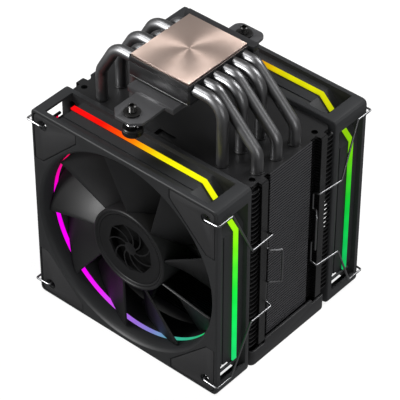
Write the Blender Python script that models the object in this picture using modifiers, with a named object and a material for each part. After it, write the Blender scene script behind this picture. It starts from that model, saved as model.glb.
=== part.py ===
"""A tower cooler for a processor, standing on its top cover with its cold plate up.

Six heat pipes carry heat from a copper cold plate into a stack of fins, and a fan on each
side of the stack blows through it. Metres, +Z up, the origin under the middle of the cooler,
the fans' axis along Y and the front fan at -Y.
"""

import math

import bmesh
import bpy
from mathutils import Matrix, Vector

MM = 0.001
GAP = 0.3 * MM

# The two fans and the stack between them.
FAN_SIDE = 120 * MM
FAN_DEPTH = 25 * MM
STACK_DEPTH = 63 * MM
HALF_SIDE = FAN_SIDE / 2
AXIS_Z = HALF_SIDE
FAN_FACES = {"front": -STACK_DEPTH / 2 - FAN_DEPTH, "rear": STACK_DEPTH / 2}
CORNER = 2.7 * MM
FLANGE = 3 * MM
DUCT_MOUTH = 57.4 * MM
DUCT = 55.5 * MM
DUCT_SIDES = 40
SCREW_HOLE = 52.5 * MM
SCREW_HOLE_RADIUS = 2.25 * MM
PAD_DEPTH = 1 * MM

# The channels in a fan's four sides, and its lights.
RAMP_START = 38.5 * MM
RAMP_END = 46 * MM
CHANNEL_START = -52.2 * MM
CHANNEL_END = 52.4 * MM
CHANNEL_FLOOR = 57.4 * MM
WINDOW_EDGE = -46 * MM
LIGHT_BAR_START = -45.7 * MM
LIGHT_BAR_THICK = 1 * MM
LIGHT_BAR_MIDDLE = 15.4 * MM
LIGHT_BAR_HALF_WIDTH = 1.45 * MM
LIGHT_RING_BACK = 11.3 * MM
LIGHT_RING_FRONT = 9 * MM

# The fan's motor and its blades.
HUB_RADIUS = 23.3 * MM
HUB_FRONT = 3 * MM
HUB_BACK = 19.8 * MM
HUB_WALL = 1.6 * MM
BLADES = 9
BLADE_TIP = 54.7 * MM
BLADE_THICK = 1.2 * MM
BLADE_RISE = 14.5 * MM
BLADE_TIP_ANGLE = math.radians(26)
BLADE_SWEEP = math.radians(6.4)
ROOT_SWEEP = math.radians(5.8)
BLADE_CHORD = math.radians(38)
SHAFT_RADIUS = 1.5 * MM
BOSS_RADIUS = 5.6 * MM
BEARING_RADIUS = 4 * MM

# The fin stack and its cover.
FINS = 8
FIN_THICK = 2.2 * MM
FIN_TOP = 117 * MM
COVER_HEIGHT = 12 * MM
COVER_WALL = 1.5 * MM
GROOVE = (17.5 * MM, 19.9 * MM)
TAB_COLUMN = (20.2 * MM, 24.2 * MM)

# The base and the heat pipes.
HEIGHT = 158 * MM
BASE_Y = -7.5 * MM
PLATE_X = 36.4 * MM
PLATE_Y = 42.2 * MM
PLATE_THICK = 1.5 * MM
BLOCK_BOTTOM = 145.2 * MM
PIPES = 6
PIPE_PITCH = 7 * MM
PIPE_RADIUS = 3 * MM
PIPE_TOP = 153.1 * MM
PIPE_END = 15 * MM
PIPE_BEND = 9.5 * MM
TIGHT_BEND = 6.5 * MM
# On the left and on the right: the legs' distances from the middle, and for the outer legs
# where the slope begins and how high its foot is.
INNER_LEGS = (25.7 * MM, 36 * MM)
OUTER_LEGS = (41.4 * MM, 51.7 * MM)
OUTER_SLOPES = ((31 * MM, 134.6 * MM), (26.6 * MM, 128 * MM))

# The brackets and their sprung screws.
TAB_TOP = 143.3 * MM
TAB_THICK = 1.5 * MM
TAB_HALF = 9 * MM
BAR_HALF = 14.5 * MM
BRACKET_SCREW_X = 10 * MM
BRACKET_SCREW_Y = 16 * MM
SCREW_REACH = 40.7 * MM
SCREW_SHANK = 2 * MM
SCREW_TIP = 148 * MM
SCREW_HEAD = 5.2 * MM
HEAD_TOP = 135.6 * MM
HEAD_HEIGHT = 4.6 * MM
SPRING_RADIUS = 3.2 * MM
SPRING_WIRE = 0.45 * MM
SPRING_TURNS = 3

# The wire clips that hold the fans.
CLIP_WIRE = 0.6 * MM
CLIP_MIDDLE = 60.5 * MM
HANDLE_MIDDLE = 62.2 * MM

BLACK = (0.038, 0.038, 0.041)


def clear_scene():
    for thing in list(bpy.data.objects):
        bpy.data.objects.remove(thing, do_unlink=True)


def new_collection(name):
    group = bpy.data.collections.new(name)
    bpy.context.scene.collection.children.link(group)
    return group


def finish(name, colour, roughness, metallic):
    """A Principled BSDF material for one piece."""
    material = bpy.data.materials.new(name)
    material.use_nodes = True
    shader = material.node_tree.nodes["Principled BSDF"]
    shader.inputs["Base Color"].default_value = (*colour, 1.0)
    shader.inputs["Roughness"].default_value = roughness
    shader.inputs["Metallic"].default_value = metallic
    return material


def new_object(name, mesh, group):
    piece = bpy.data.objects.new(name, mesh)
    group.objects.link(piece)
    return piece


def mesh_from(maker):
    """A mesh from a function that fills a bmesh."""
    shape = bmesh.new()
    maker(shape)
    mesh = bpy.data.meshes.new("shape")
    shape.to_mesh(mesh)
    shape.free()
    return mesh


def box_mesh(low, high):
    """A box between two opposite corners."""
    size = Vector(high) - Vector(low)
    middle = (Vector(high) + Vector(low)) / 2

    def make(shape):
        bmesh.ops.create_cube(shape, size=1.0)
        bmesh.ops.scale(shape, vec=size, verts=shape.verts)
        bmesh.ops.translate(shape, vec=middle, verts=shape.verts)

    return mesh_from(make)


def rod_mesh(radius, start, end, segments):
    """A cylinder from one point to another."""
    run = Vector(end) - Vector(start)
    turn = Vector((0, 0, 1)).rotation_difference(run).to_matrix().to_4x4()
    place = Matrix.Translation((Vector(end) + Vector(start)) / 2) @ turn

    def make(shape):
        bmesh.ops.create_cone(shape, cap_ends=True, segments=segments, radius1=radius,
                              radius2=radius, depth=run.length, matrix=place)

    return mesh_from(make)


def evaluated_mesh(thing):
    """The mesh of an object with its modifiers or its curve bevel applied, caps welded."""
    view = bpy.context.evaluated_depsgraph_get()
    mesh = bpy.data.meshes.new_from_object(thing.evaluated_get(view))
    shape = bmesh.new()
    shape.from_mesh(mesh)
    bmesh.ops.remove_doubles(shape, verts=shape.verts, dist=0.01 * MM)
    shape.to_mesh(mesh)
    shape.free()
    bpy.data.objects.remove(thing, do_unlink=True)
    return mesh


def turned_mesh(profile, steps, closed, along_y):
    """A profile of (radius, height) points turned about Z, then laid along Y if asked.

    The profile runs down the outer side from the top; a closed one is a ring's section.
    """
    mesh = bpy.data.meshes.new("profile")
    count = len(profile)
    edges = [(index, (index + 1) % count) for index in range(count if closed else count - 1)]
    mesh.from_pydata([(radius, 0, height) for radius, height in profile], edges, [])
    thing = new_object("profile", mesh, bpy.context.scene.collection)
    screw = thing.modifiers.new("turn", "SCREW")
    screw.steps = steps
    screw.render_steps = steps
    screw.use_merge_vertices = True
    screw.merge_threshold = 0.00001
    screw.use_smooth_shade = False
    mesh = evaluated_mesh(thing)
    if along_y:
        mesh.transform(Matrix.Rotation(math.radians(-90), 4, "X"))
    return mesh


def outline_mesh(outlines, low, high, upright):
    """Flat outlines, the first one's holes after it, given a thickness from low to high.

    The outline lies in XY, or upright in XZ with its thickness along Y.
    """
    curve = bpy.data.curves.new("outline", "CURVE")
    curve.dimensions = "2D"
    curve.fill_mode = "BOTH"
    curve.extrude = (high - low) / 2
    for points in outlines:
        spline = curve.splines.new("POLY")
        spline.points.add(len(points) - 1)
        for knot, (across, up) in zip(spline.points, points):
            knot.co = (across, up, 0, 1)
        spline.use_cyclic_u = True
    thing = new_object("outline", curve, bpy.context.scene.collection)
    mesh = evaluated_mesh(thing)
    mesh.transform(Matrix.Translation((0, 0, (high + low) / 2)))
    if upright:
        mesh.transform(Matrix(((1, 0, 0, 0), (0, 0, 1, 0), (0, 1, 0, 0), (0, 0, 0, 1))))
        mesh.flip_normals()
    return mesh


def wire_mesh(points, radius, resolution):
    """A round wire or tube through points, with closed ends."""
    curve = bpy.data.curves.new("wire", "CURVE")
    curve.dimensions = "3D"
    curve.bevel_depth = radius
    curve.bevel_resolution = resolution
    curve.use_fill_caps = True
    spline = curve.splines.new("POLY")
    spline.points.add(len(points) - 1)
    for knot, point in zip(spline.points, points):
        knot.co = (*point, 1)
    thing = new_object("wire", curve, bpy.context.scene.collection)
    return evaluated_mesh(thing)


def rounded_route(corners, radius, steps):
    """Points along straight runs whose corners are rounded by arcs."""
    route = [Vector(corners[0])]
    for before, corner, after in zip(corners, corners[1:], corners[2:]):
        corner = Vector(corner)
        inward = (Vector(before) - corner).normalized()
        outward = (Vector(after) - corner).normalized()
        half_angle = inward.angle(outward) / 2
        reach = radius / math.tan(half_angle)
        middle = corner + (inward + outward).normalized() * (radius / math.sin(half_angle))
        first = (corner + inward * reach - middle).normalized()
        last = (corner + outward * reach - middle).normalized()
        for step in range(steps + 1):
            route.append(middle + first.slerp(last, step / steps) * radius)
    route.append(Vector(corners[-1]))
    return route


def circle(centre_x, centre_y, radius, segments):
    """Points round a circle."""
    turns = [2 * math.pi * index / segments for index in range(segments)]
    return [(centre_x + radius * math.cos(a), centre_y + radius * math.sin(a)) for a in turns]


def joined_mesh(meshes):
    """Several meshes as one."""
    shape = bmesh.new()
    for mesh in meshes:
        shape.from_mesh(mesh)
    joined = bpy.data.meshes.new("joined")
    shape.to_mesh(joined)
    shape.free()
    return joined


class Cooler:
    """Holds the collections, and adds pieces and Boolean tools to them."""

    def __init__(self):
        self.parts = new_collection("cpu_tower_cooler")
        self.tools = new_collection("cutters")

    def piece(self, name, mesh, material, parent=None):
        piece = new_object(name, mesh, self.parts)
        piece.parent = parent
        mesh.materials.clear()
        mesh.materials.append(material)
        mesh.shade_smooth()
        mesh.set_sharp_from_angle(angle=math.radians(35))
        return piece

    def tool(self, piece, mesh, operation):
        """Cut a mesh out of a piece, or join it on."""
        tool = new_object(piece.name + "_tool", mesh, self.tools)
        tool.parent = piece.parent
        tool.hide_render = True
        tool.display_type = "WIRE"
        change = piece.modifiers.new(operation.lower(), "BOOLEAN")
        change.object = tool
        change.operation = operation
        change.solver = "EXACT"

    def empty(self, name, place):
        """An empty on a joint's axis."""
        empty = bpy.data.objects.new(name, None)
        empty.location = place
        self.parts.objects.link(empty)
        return empty


# ---------------------------------------------------------------- fans

def side_places():
    """For each side of a fan, the turn that lays a (along, outward) outline on it."""
    return {
        "top": lambda along, out: (along, out),
        "right": lambda along, out: (out, along),
        "bottom": lambda along, out: (-along, -out),
        "left": lambda along, out: (-out, -along),
    }


def channel_outline(place):
    """The recess along a fan's side, with the slope at the end of its light bar."""
    past_side = HALF_SIDE + 1 * MM
    slope_foot = CHANNEL_FLOOR - (RAMP_END - RAMP_START)
    points = [(CHANNEL_START, past_side), (CHANNEL_START, CHANNEL_FLOOR), (RAMP_START, CHANNEL_FLOOR),
              (RAMP_END, slope_foot), (CHANNEL_END, slope_foot), (CHANNEL_END, past_side)]
    return [place(*point) for point in points]


def window_outline(place):
    """The opening through a fan's corner, under the end of a side's recess."""
    inner = -WINDOW_EDGE
    floor = inner - 2 * MM
    points = [(CHANNEL_START, HALF_SIDE + 1 * MM), (CHANNEL_START, floor), (WINDOW_EDGE, floor),
              (WINDOW_EDGE, HALF_SIDE + 1 * MM)]
    return [place(*point) for point in points]


def light_bar_outline(place):
    """A light bar's side view: a long run, then a short slope towards the corner."""
    low = CHANNEL_FLOOR + GAP
    high = low + LIGHT_BAR_THICK
    bend = LIGHT_BAR_THICK * math.tan(math.radians(22.5))
    start = RAMP_START + GAP * math.tan(math.radians(22.5))
    run = RAMP_END - RAMP_START - 0.8 * MM
    foot = (start + run, low - run)
    step = LIGHT_BAR_THICK * math.cos(math.radians(45))
    points = [(LIGHT_BAR_START, low), (start, low), foot, (foot[0] + step, foot[1] + step),
              (start + bend, high), (LIGHT_BAR_START, high)]
    return [place(*point) for point in points]


def pad_outline(turn, inset):
    """A corner pad of the fan's face, in the corner that a number of quarter turns gives."""
    near = 29.7 * MM + inset
    far = 58.5 * MM - inset
    clipped = 57 * MM - inset
    diagonal = 53 * MM + inset * 0.4
    points = [(near, far), (near, diagonal), (diagonal, near), (far, near), (far, clipped), (clipped, far)]
    angle = math.radians(90 * turn)
    cos, sin = math.cos(angle), math.sin(angle)
    return [(x * cos - z * sin, x * sin + z * cos) for x, z in points]


def duct_mesh():
    """The fan's opening as a solid: a rounded mouth, a light groove and a straight bore."""
    groove = DUCT + 0.8 * MM
    profile = [
        (0, FAN_DEPTH + MM), (DUCT, FAN_DEPTH + MM), (DUCT, LIGHT_RING_BACK + GAP),
        (groove, LIGHT_RING_BACK + GAP), (groove, LIGHT_RING_FRONT - GAP), (DUCT, LIGHT_RING_FRONT - GAP),
        (DUCT + 0.5 * MM, 4 * MM), (DUCT_MOUTH, 0), (DUCT_MOUTH, -MM), (0, -MM),
    ]
    return turned_mesh(profile, DUCT_SIDES, False, True)


def screw_hole_meshes(low, high, radius):
    """Rods for the holes in a fan's four corners."""
    rods = []
    for x in (-SCREW_HOLE, SCREW_HOLE):
        for z in (-SCREW_HOLE, SCREW_HOLE):
            rods.append(rod_mesh(radius, (x, low, z), (x, high, z), 10))
    return joined_mesh(rods)


def motor_mount_mesh():
    """The disc behind the motor with the tube that holds the bearing."""
    bore = BEARING_RADIUS + GAP
    profile = [(HUB_RADIUS - MM, FAN_DEPTH - 0.2 * MM), (HUB_RADIUS - MM, 21.5 * MM), (BOSS_RADIUS, 21.5 * MM),
               (BOSS_RADIUS, 9 * MM), (bore, 9 * MM), (bore, FAN_DEPTH - 0.2 * MM)]
    return turned_mesh(profile, 24, True, True)


def strut_mesh(index):
    """One of the arms from the fan's duct to the motor's disc, tangent to the disc."""
    mesh = box_mesh((14 * MM, 21.7 * MM, 10 * MM), (56.8 * MM, FAN_DEPTH - 0.1 * MM, 14 * MM))
    mesh.transform(Matrix.Rotation(math.radians(90 * index + 20), 4, "Y"))
    return mesh


def fan_frame(cooler, side, parent):
    body = chamfered_box_mesh((-HALF_SIDE, 0, -HALF_SIDE), (HALF_SIDE, FAN_DEPTH, HALF_SIDE), 1, CORNER, 1)
    frame = cooler.piece(side + "_fan_frame", body, finish(side + "_fan_frame", BLACK, 0.5, 0.0), parent)
    cooler.tool(frame, duct_mesh(), "DIFFERENCE")
    places = side_places()
    for place in places.values():
        channel = outline_mesh([channel_outline(place)], FLANGE, FAN_DEPTH - FLANGE, True)
        cooler.tool(frame, channel, "DIFFERENCE")
    for name in places:
        window = outline_mesh([window_outline(places[name])], FLANGE, FAN_DEPTH - FLANGE, True)
        cooler.tool(frame, window, "DIFFERENCE")
    cooler.tool(frame, screw_hole_meshes(-MM, FAN_DEPTH + MM, SCREW_HOLE_RADIUS), "DIFFERENCE")
    low, high = pad_span(side)
    recesses = joined_mesh([outline_mesh([pad_outline(turn, 0)], low[0], high[0], True) for turn in range(4)])
    cooler.tool(frame, recesses, "DIFFERENCE")
    cooler.tool(frame, motor_mount_mesh(), "UNION")
    for index in range(4):
        cooler.tool(frame, strut_mesh(index), "UNION")
    return frame


def pad_span(side):
    """Where a fan's pads start and end along Y, for the recess and for the pad."""
    if side == "front":
        return (-MM, 0), (PAD_DEPTH, PAD_DEPTH - GAP)
    return (FAN_DEPTH - PAD_DEPTH, FAN_DEPTH - PAD_DEPTH + GAP), (FAN_DEPTH + MM, FAN_DEPTH)


def corner_pads(cooler, side, parent):
    low, high = pad_span(side)
    for turn in range(4):
        name = side + "_corner_pad_" + str(turn + 1)
        angle = math.radians(90 * turn + 45)
        reach = SCREW_HOLE * math.sqrt(2)
        hole = circle(reach * math.cos(angle), reach * math.sin(angle), SCREW_HOLE_RADIUS + 0.5 * MM, 8)
        mesh = outline_mesh([pad_outline(turn, GAP), hole], low[1], high[1], True)
        cooler.piece(name, mesh, finish(name, (0.03, 0.03, 0.032), 0.7, 0.0), parent)


def light_bars(cooler, side, parent):
    colours = {"top": (1.0, 0.45, 0.0), "right": (0.1, 0.9, 0.1),
               "bottom": (0.2, 0.4, 1.0), "left": (1.0, 0.0, 0.7)}
    low = LIGHT_BAR_MIDDLE - LIGHT_BAR_HALF_WIDTH
    high = LIGHT_BAR_MIDDLE + LIGHT_BAR_HALF_WIDTH
    for where, place in side_places().items():
        name = side + "_light_bar_" + where
        mesh = outline_mesh([light_bar_outline(place)], low, high, True)
        cooler.piece(name, mesh, finish(name, colours[where], 0.4, 0.0), parent)


def light_ring(cooler, side, parent):
    inner = DUCT - 0.2 * MM
    outer = DUCT + 0.5 * MM
    profile = [(outer, LIGHT_RING_BACK), (outer, LIGHT_RING_FRONT),
               (inner, LIGHT_RING_FRONT), (inner, LIGHT_RING_BACK)]
    name = side + "_light_ring"
    ring = turned_mesh(profile, DUCT_SIDES, True, True)
    cooler.piece(name, ring, finish(name, (0.8, 0.1, 0.9), 0.4, 0.0), parent)


def blade_mesh(index):
    """A thin swept blade: its leading edge near the front, its trailing edge near the back."""
    shape = bmesh.new()
    bmesh.ops.create_grid(shape, x_segments=3, y_segments=2, size=0.5)
    root = HUB_RADIUS - 1 * MM
    for vert in shape.verts:
        out = vert.co.x + 0.5
        back = vert.co.y + 0.5
        radius = root + (BLADE_TIP - root) * out
        sweep = BLADE_SWEEP * (1 - out) + ROOT_SWEEP * (1 - out) ** 4
        lead = BLADE_TIP_ANGLE - sweep + 2 * math.pi / BLADES * index
        angle = lead - BLADE_CHORD * back
        depth = (5 - out) * MM + BLADE_RISE * back
        vert.co = (radius * math.cos(angle), depth, radius * math.sin(angle))
    bmesh.ops.recalc_face_normals(shape, faces=shape.faces)
    bmesh.ops.solidify(shape, geom=list(shape.faces), thickness=BLADE_THICK)
    bmesh.ops.recalc_face_normals(shape, faces=shape.faces)
    mesh = bpy.data.meshes.new("blade")
    shape.to_mesh(mesh)
    shape.free()
    return mesh


def rotor(cooler, side, parent):
    """The cup that covers the motor, with the blades round it."""
    face = HUB_FRONT + 1.2 * MM
    inside = face + HUB_WALL
    wall = HUB_RADIUS - HUB_WALL
    profile = [
        (0, inside), (SHAFT_RADIUS + GAP, inside), (SHAFT_RADIUS + GAP, inside + 2.5 * MM),
        (3.6 * MM, inside + 2.5 * MM), (3.6 * MM, inside), (wall, inside), (wall, HUB_BACK),
        (HUB_RADIUS, HUB_BACK), (HUB_RADIUS, HUB_FRONT + 0.5 * MM), (HUB_RADIUS - 0.5 * MM, HUB_FRONT),
        (20.4 * MM, HUB_FRONT), (19.9 * MM, face + 0.3 * MM), (19.9 * MM, face + 0.6 * MM),
        (0, face + 0.6 * MM),
    ]
    name = side + "_rotor"
    mesh = turned_mesh(list(reversed(profile)), 28, False, True)
    piece = cooler.piece(name, mesh, finish(name, (0.03, 0.03, 0.032), 0.45, 0.0), parent)
    for index in range(BLADES):
        cooler.tool(piece, blade_mesh(index), "UNION")


def motor(cooler, side, parent):
    """The pieces inside the cup: badge, magnets, shaft, bearing, stator and circuit board."""
    steel = (0.55, 0.55, 0.56)
    face = HUB_FRONT + 1.2 * MM

    name = side + "_hub_badge"
    badge = turned_mesh([(0, face + 0.3 * MM), (19.4 * MM, face + 0.3 * MM), (19.4 * MM, HUB_FRONT + 0.6 * MM),
                         (0, HUB_FRONT + 0.6 * MM)], 28, False, True)
    cooler.piece(name, badge, finish(name, (0.05, 0.05, 0.052), 0.3, 0.2), parent)

    name = side + "_magnet_ring"
    outer = HUB_RADIUS - HUB_WALL - 0.4 * MM
    inner = outer - 1.7 * MM
    profile = [(outer, 19 * MM), (outer, 7 * MM), (inner, 7 * MM), (inner, 19 * MM)]
    magnets = turned_mesh(profile, 24, True, True)
    cooler.piece(name, magnets, finish(name, (0.1, 0.1, 0.1), 0.6, 0.4), parent)

    name = side + "_shaft"
    start = face + HUB_WALL + GAP
    shaft = rod_mesh(SHAFT_RADIUS, (0, start, 0), (0, 23 * MM, 0), 20)
    cooler.piece(name, shaft, finish(name, steel, 0.25, 1.0), parent)

    name = side + "_bearing"
    bore = SHAFT_RADIUS + 0.09 * MM
    sleeve = turned_mesh([(BEARING_RADIUS, 23.5 * MM), (BEARING_RADIUS, 9.5 * MM), (bore, 9.5 * MM),
                          (bore, 23.5 * MM)], 16, True, True)
    cooler.piece(name, sleeve, finish(name, (0.62, 0.42, 0.2), 0.35, 1.0), parent)

    name = side + "_stator"
    stator = outline_mesh([stator_outline(6), circle(0, 0, BOSS_RADIUS + GAP, 16)], 9.5 * MM, 17.5 * MM, True)
    cooler.piece(name, stator, finish(name, (0.45, 0.2, 0.08), 0.4, 0.8), parent)

    name = side + "_circuit_board"
    outlines = [circle(0, 0, 18 * MM, 24), circle(0, 0, BOSS_RADIUS + GAP, 16)]
    board = outline_mesh(outlines, 20.1 * MM, 21.2 * MM, True)
    cooler.piece(name, board, finish(name, (0.02, 0.12, 0.05), 0.5, 0.0), parent)


def stator_outline(poles):
    """The iron star of the motor: a ring with T-shaped poles."""
    shoe = 18.6 * MM
    neck = 2.2 * MM
    root = 9 * MM
    points = []
    for pole in range(poles):
        middle = 2 * math.pi * pole / poles
        for spread in (-22, 0, 22):
            angle = middle + math.radians(spread)
            points.append((shoe * math.cos(angle), shoe * math.sin(angle)))
        for radius, half in ((shoe - 2.5 * MM, 22), (shoe - 3 * MM, 10)):
            angle = middle + math.radians(half)
            points.append((radius * math.cos(angle), radius * math.sin(angle)))
        angle = middle + math.asin(neck / root)
        points.append((root * math.cos(angle), root * math.sin(angle)))
        angle = middle + 2 * math.pi / poles - math.asin(neck / root)
        points.append((root * math.cos(angle), root * math.sin(angle)))
        following = middle + 2 * math.pi / poles
        for radius, half in ((shoe - 3 * MM, 10), (shoe - 2.5 * MM, 22)):
            angle = following - math.radians(half)
            points.append((radius * math.cos(angle), radius * math.sin(angle)))
    return points


def fan(cooler, side):
    """A whole fan: still pieces hang from one empty, turning ones from another on the axis."""
    place = (0, FAN_FACES[side], AXIS_Z)
    still = cooler.empty(side + "_fan", place)
    turning = cooler.empty(side + "_fan_axis", place)
    fan_frame(cooler, side, still)
    corner_pads(cooler, side, still)
    light_bars(cooler, side, still)
    light_ring(cooler, side, still)
    motor(cooler, side, still)
    rotor(cooler, side, turning)
    for name in ("_hub_badge", "_magnet_ring", "_shaft"):
        bpy.data.objects[side + name].parent = turning


# ---------------------------------------------------------------- fins and cover

def pipe_places():
    """Each pipe's Y, and how far out its left and right legs stand."""
    places = []
    for index in range(PIPES):
        y = BASE_Y + (index - (PIPES - 1) / 2) * PIPE_PITCH
        inner_first = index % 2 == 0
        right = INNER_LEGS[1] if inner_first else OUTER_LEGS[1]
        left = OUTER_LEGS[0] if inner_first else INNER_LEGS[0]
        places.append((y, left, right))
    return places


def chamfered_box_mesh(low, high, along, width, segments):
    """A box whose edges along one axis, 0 to 2, are chamfered or rounded off."""
    mesh = box_mesh(low, high)
    shape = bmesh.new()
    shape.from_mesh(mesh)
    edges = [e for e in shape.edges if abs(e.verts[0].co[along] - e.verts[1].co[along]) > 0.1 * MM]
    bmesh.ops.bevel(shape, geom=edges, offset=width, segments=segments, affect="EDGES", profile=0.5)
    shape.to_mesh(mesh)
    shape.free()
    return mesh


def fin_meshes(bottom):
    """The fins, one above the other."""
    half_y = STACK_DEPTH / 2 - GAP
    pitch = (FIN_TOP - FIN_THICK - bottom) / (FINS - 1)
    fins = []
    for index in range(FINS):
        low = bottom + index * pitch
        corners = (-HALF_SIDE, -half_y, low), (HALF_SIDE, half_y, low + FIN_THICK)
        fins.append(chamfered_box_mesh(*corners, 2, 2 * MM, 1))
    return fins


def column_meshes(bottom):
    """The folded tabs down the stack's sides that lock one fin to the next."""
    near, far = TAB_COLUMN
    columns = []
    for side in (-1, 1):
        for end in (-1, 1):
            x = sorted((side * (HALF_SIDE - 1.2 * MM), side * (HALF_SIDE - 0.02 * MM)))
            y = sorted((end * near, end * far))
            columns.append(box_mesh((x[0], y[0], bottom + 0.1 * MM), (x[1], y[1], FIN_TOP - 0.1 * MM)))
    return columns


def groove_meshes(bottom):
    """The grooves that the wire clips hook into."""
    near, far = GROOVE
    grooves = []
    for side in (-1, 1):
        for end in (-1, 1):
            x = sorted((side * (HALF_SIDE - 1.8 * MM), side * (HALF_SIDE + MM)))
            y = sorted((end * near, end * far))
            grooves.append(box_mesh((x[0], y[0], bottom - MM), (x[1], y[1], FIN_TOP + MM)))
    return grooves


def fin_stack(cooler):
    """The fins, whose holes leave the pipes room, as one piece locked by its folded tabs."""
    bottom = COVER_HEIGHT + GAP
    name = "fin_stack"
    stack = cooler.piece(name, joined_mesh(fin_meshes(bottom)), finish(name, (0.03, 0.03, 0.032), 0.4, 0.6))
    cooler.tool(stack, joined_mesh(column_meshes(bottom)), "UNION")
    hole = (PIPE_RADIUS + 0.15 * MM) / math.cos(math.pi / 6)
    holes = []
    for y, left, right in pipe_places():
        for x in (-left, right):
            holes.append(rod_mesh(hole, (x, y, 0), (x, y, HEIGHT), 6))
    cooler.tool(stack, joined_mesh(holes), "DIFFERENCE")
    cooler.tool(stack, joined_mesh(groove_meshes(bottom)), "DIFFERENCE")


def top_cover(cooler):
    """The shallow tray over the ends of the pipes, which the cooler stands on here."""
    half_y = 29.4 * MM
    body = chamfered_box_mesh((-HALF_SIDE, -half_y, 0), (HALF_SIDE, half_y, COVER_HEIGHT), 2, 3 * MM, 2)
    cover = cooler.piece("top_cover", body, finish("top_cover", BLACK, 0.45, 0.0))
    wall = COVER_WALL
    inner_x, inner_y = HALF_SIDE - wall, half_y - wall
    hollow = box_mesh((-inner_x, -inner_y, wall), (inner_x, inner_y, COVER_HEIGHT + MM))
    cooler.tool(cover, hollow, "DIFFERENCE")


# ---------------------------------------------------------------- base and pipes

def pipe_route(y, left, right):
    """A pipe's middle line: down one leg, across the base and down the other."""
    def leg(hand, side, reach):
        if reach == INNER_LEGS[hand]:
            return [(side * reach, y, PIPE_TOP)]
        start, foot = OUTER_SLOPES[hand]
        return [(side * start, y, PIPE_TOP), (side * reach, y, foot)]

    corners = [(-left, y, PIPE_END)] + list(reversed(leg(0, -1, left))) + leg(1, 1, right)
    corners.append((right, y, PIPE_END))
    return rounded_route(corners, TIGHT_BEND if left == INNER_LEGS[0] else PIPE_BEND, 3)


def heat_pipes(cooler):
    for index, (y, left, right) in enumerate(pipe_places()):
        name = "heat_pipe_" + str(index + 1)
        mesh = wire_mesh(pipe_route(y, left, right), PIPE_RADIUS, 2)
        cooler.piece(name, mesh, finish(name, (0.09, 0.09, 0.095), 0.2, 0.9))


def cold_plate(cooler):
    low = (-PLATE_X / 2, BASE_Y - PLATE_Y / 2, HEIGHT - PLATE_THICK)
    high = (PLATE_X / 2, BASE_Y + PLATE_Y / 2, HEIGHT)
    cooler.piece("cold_plate", box_mesh(low, high), finish("cold_plate", (0.72, 0.5, 0.42), 0.3, 1.0))


def base_block(cooler):
    """The block that clamps the pipes to the cold plate: a channel for each pipe, a seat on top."""
    half = 18.4 * MM
    wide = 19.1 * MM
    flange = 21.9 * MM
    front = BASE_Y - 22.2 * MM
    back = BASE_Y + 25.6 * MM
    chamfer = wide - half
    root = back - 4.6 * MM
    lip = back - 4.1 * MM
    right = [(half, front), (wide, front + chamfer), (wide, root), (flange, lip), (flange, back)]
    outline = right + [(-x, y) for x, y in reversed(right)]
    top = HEIGHT - 1 * MM
    mesh = outline_mesh([outline], BLOCK_BOTTOM, top, False)
    block = cooler.piece("base_block", mesh, finish("base_block", BLACK, 0.35, 0.3))
    seat_low = (-PLATE_X / 2 - GAP, BASE_Y - PLATE_Y / 2 - GAP, HEIGHT - PLATE_THICK - GAP)
    seat_high = (PLATE_X / 2 + GAP, BASE_Y + PLATE_Y / 2 + GAP, HEIGHT + MM)
    cooler.tool(block, box_mesh(seat_low, seat_high), "DIFFERENCE")
    clear = PIPE_RADIUS + 0.35 * MM
    channels = []
    for y, _left, _right in pipe_places():
        slot = [(y - clear, HEIGHT + MM)]
        for step in range(5):
            angle = math.pi + math.pi * step / 4
            slot.append((y + clear * math.cos(angle), PIPE_TOP + clear * math.sin(angle)))
        slot.append((y + clear, HEIGHT + MM))
        channel = outline_mesh([slot], -30 * MM, 30 * MM, False)
        channel.transform(Matrix(((0, 0, 1, 0), (1, 0, 0, 0), (0, 1, 0, 0), (0, 0, 0, 1))))
        channels.append(channel)
    cooler.tool(block, joined_mesh(channels), "DIFFERENCE")
    for end in (-1, 1):
        for x in (-BRACKET_SCREW_X, BRACKET_SCREW_X):
            y = BASE_Y + end * BRACKET_SCREW_Y
            hole = rod_mesh(1.8 * MM, (x, y, BLOCK_BOTTOM - MM), (x, y, BLOCK_BOTTOM + 3.4 * MM), 12)
            cooler.tool(block, hole, "DIFFERENCE")


# ---------------------------------------------------------------- brackets and screws

def ends():
    """The two ends of the base: the name of each, and which way it faces."""
    return (("front", -1), ("rear", 1))


def tab_outline(end):
    """The tongue that carries a screw: rounded off or clipped at its tip."""
    tip = SCREW_REACH + 7.1 * MM
    clip = 4.5 * MM
    inner = 12 * MM
    points = [(-TAB_HALF, inner), (TAB_HALF, inner), (TAB_HALF, tip - clip)]
    if end < 0:
        points += [(TAB_HALF - clip, tip), (clip - TAB_HALF, tip)]
    else:
        for step in range(1, 5):
            angle = math.radians(90 * step / 5)
            points.append((TAB_HALF - clip * (1 - math.cos(angle)), tip - clip * (1 - math.sin(angle))))
        points.append((TAB_HALF - clip, tip))
        points.append((clip - TAB_HALF, tip))
        for step in range(4, 0, -1):
            angle = math.radians(90 * step / 5)
            points.append((clip * (1 - math.cos(angle)) - TAB_HALF, tip - clip * (1 - math.sin(angle))))
    points.append((-TAB_HALF, tip - clip))
    return [(x, BASE_Y + end * y) for x, y in points]


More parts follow.
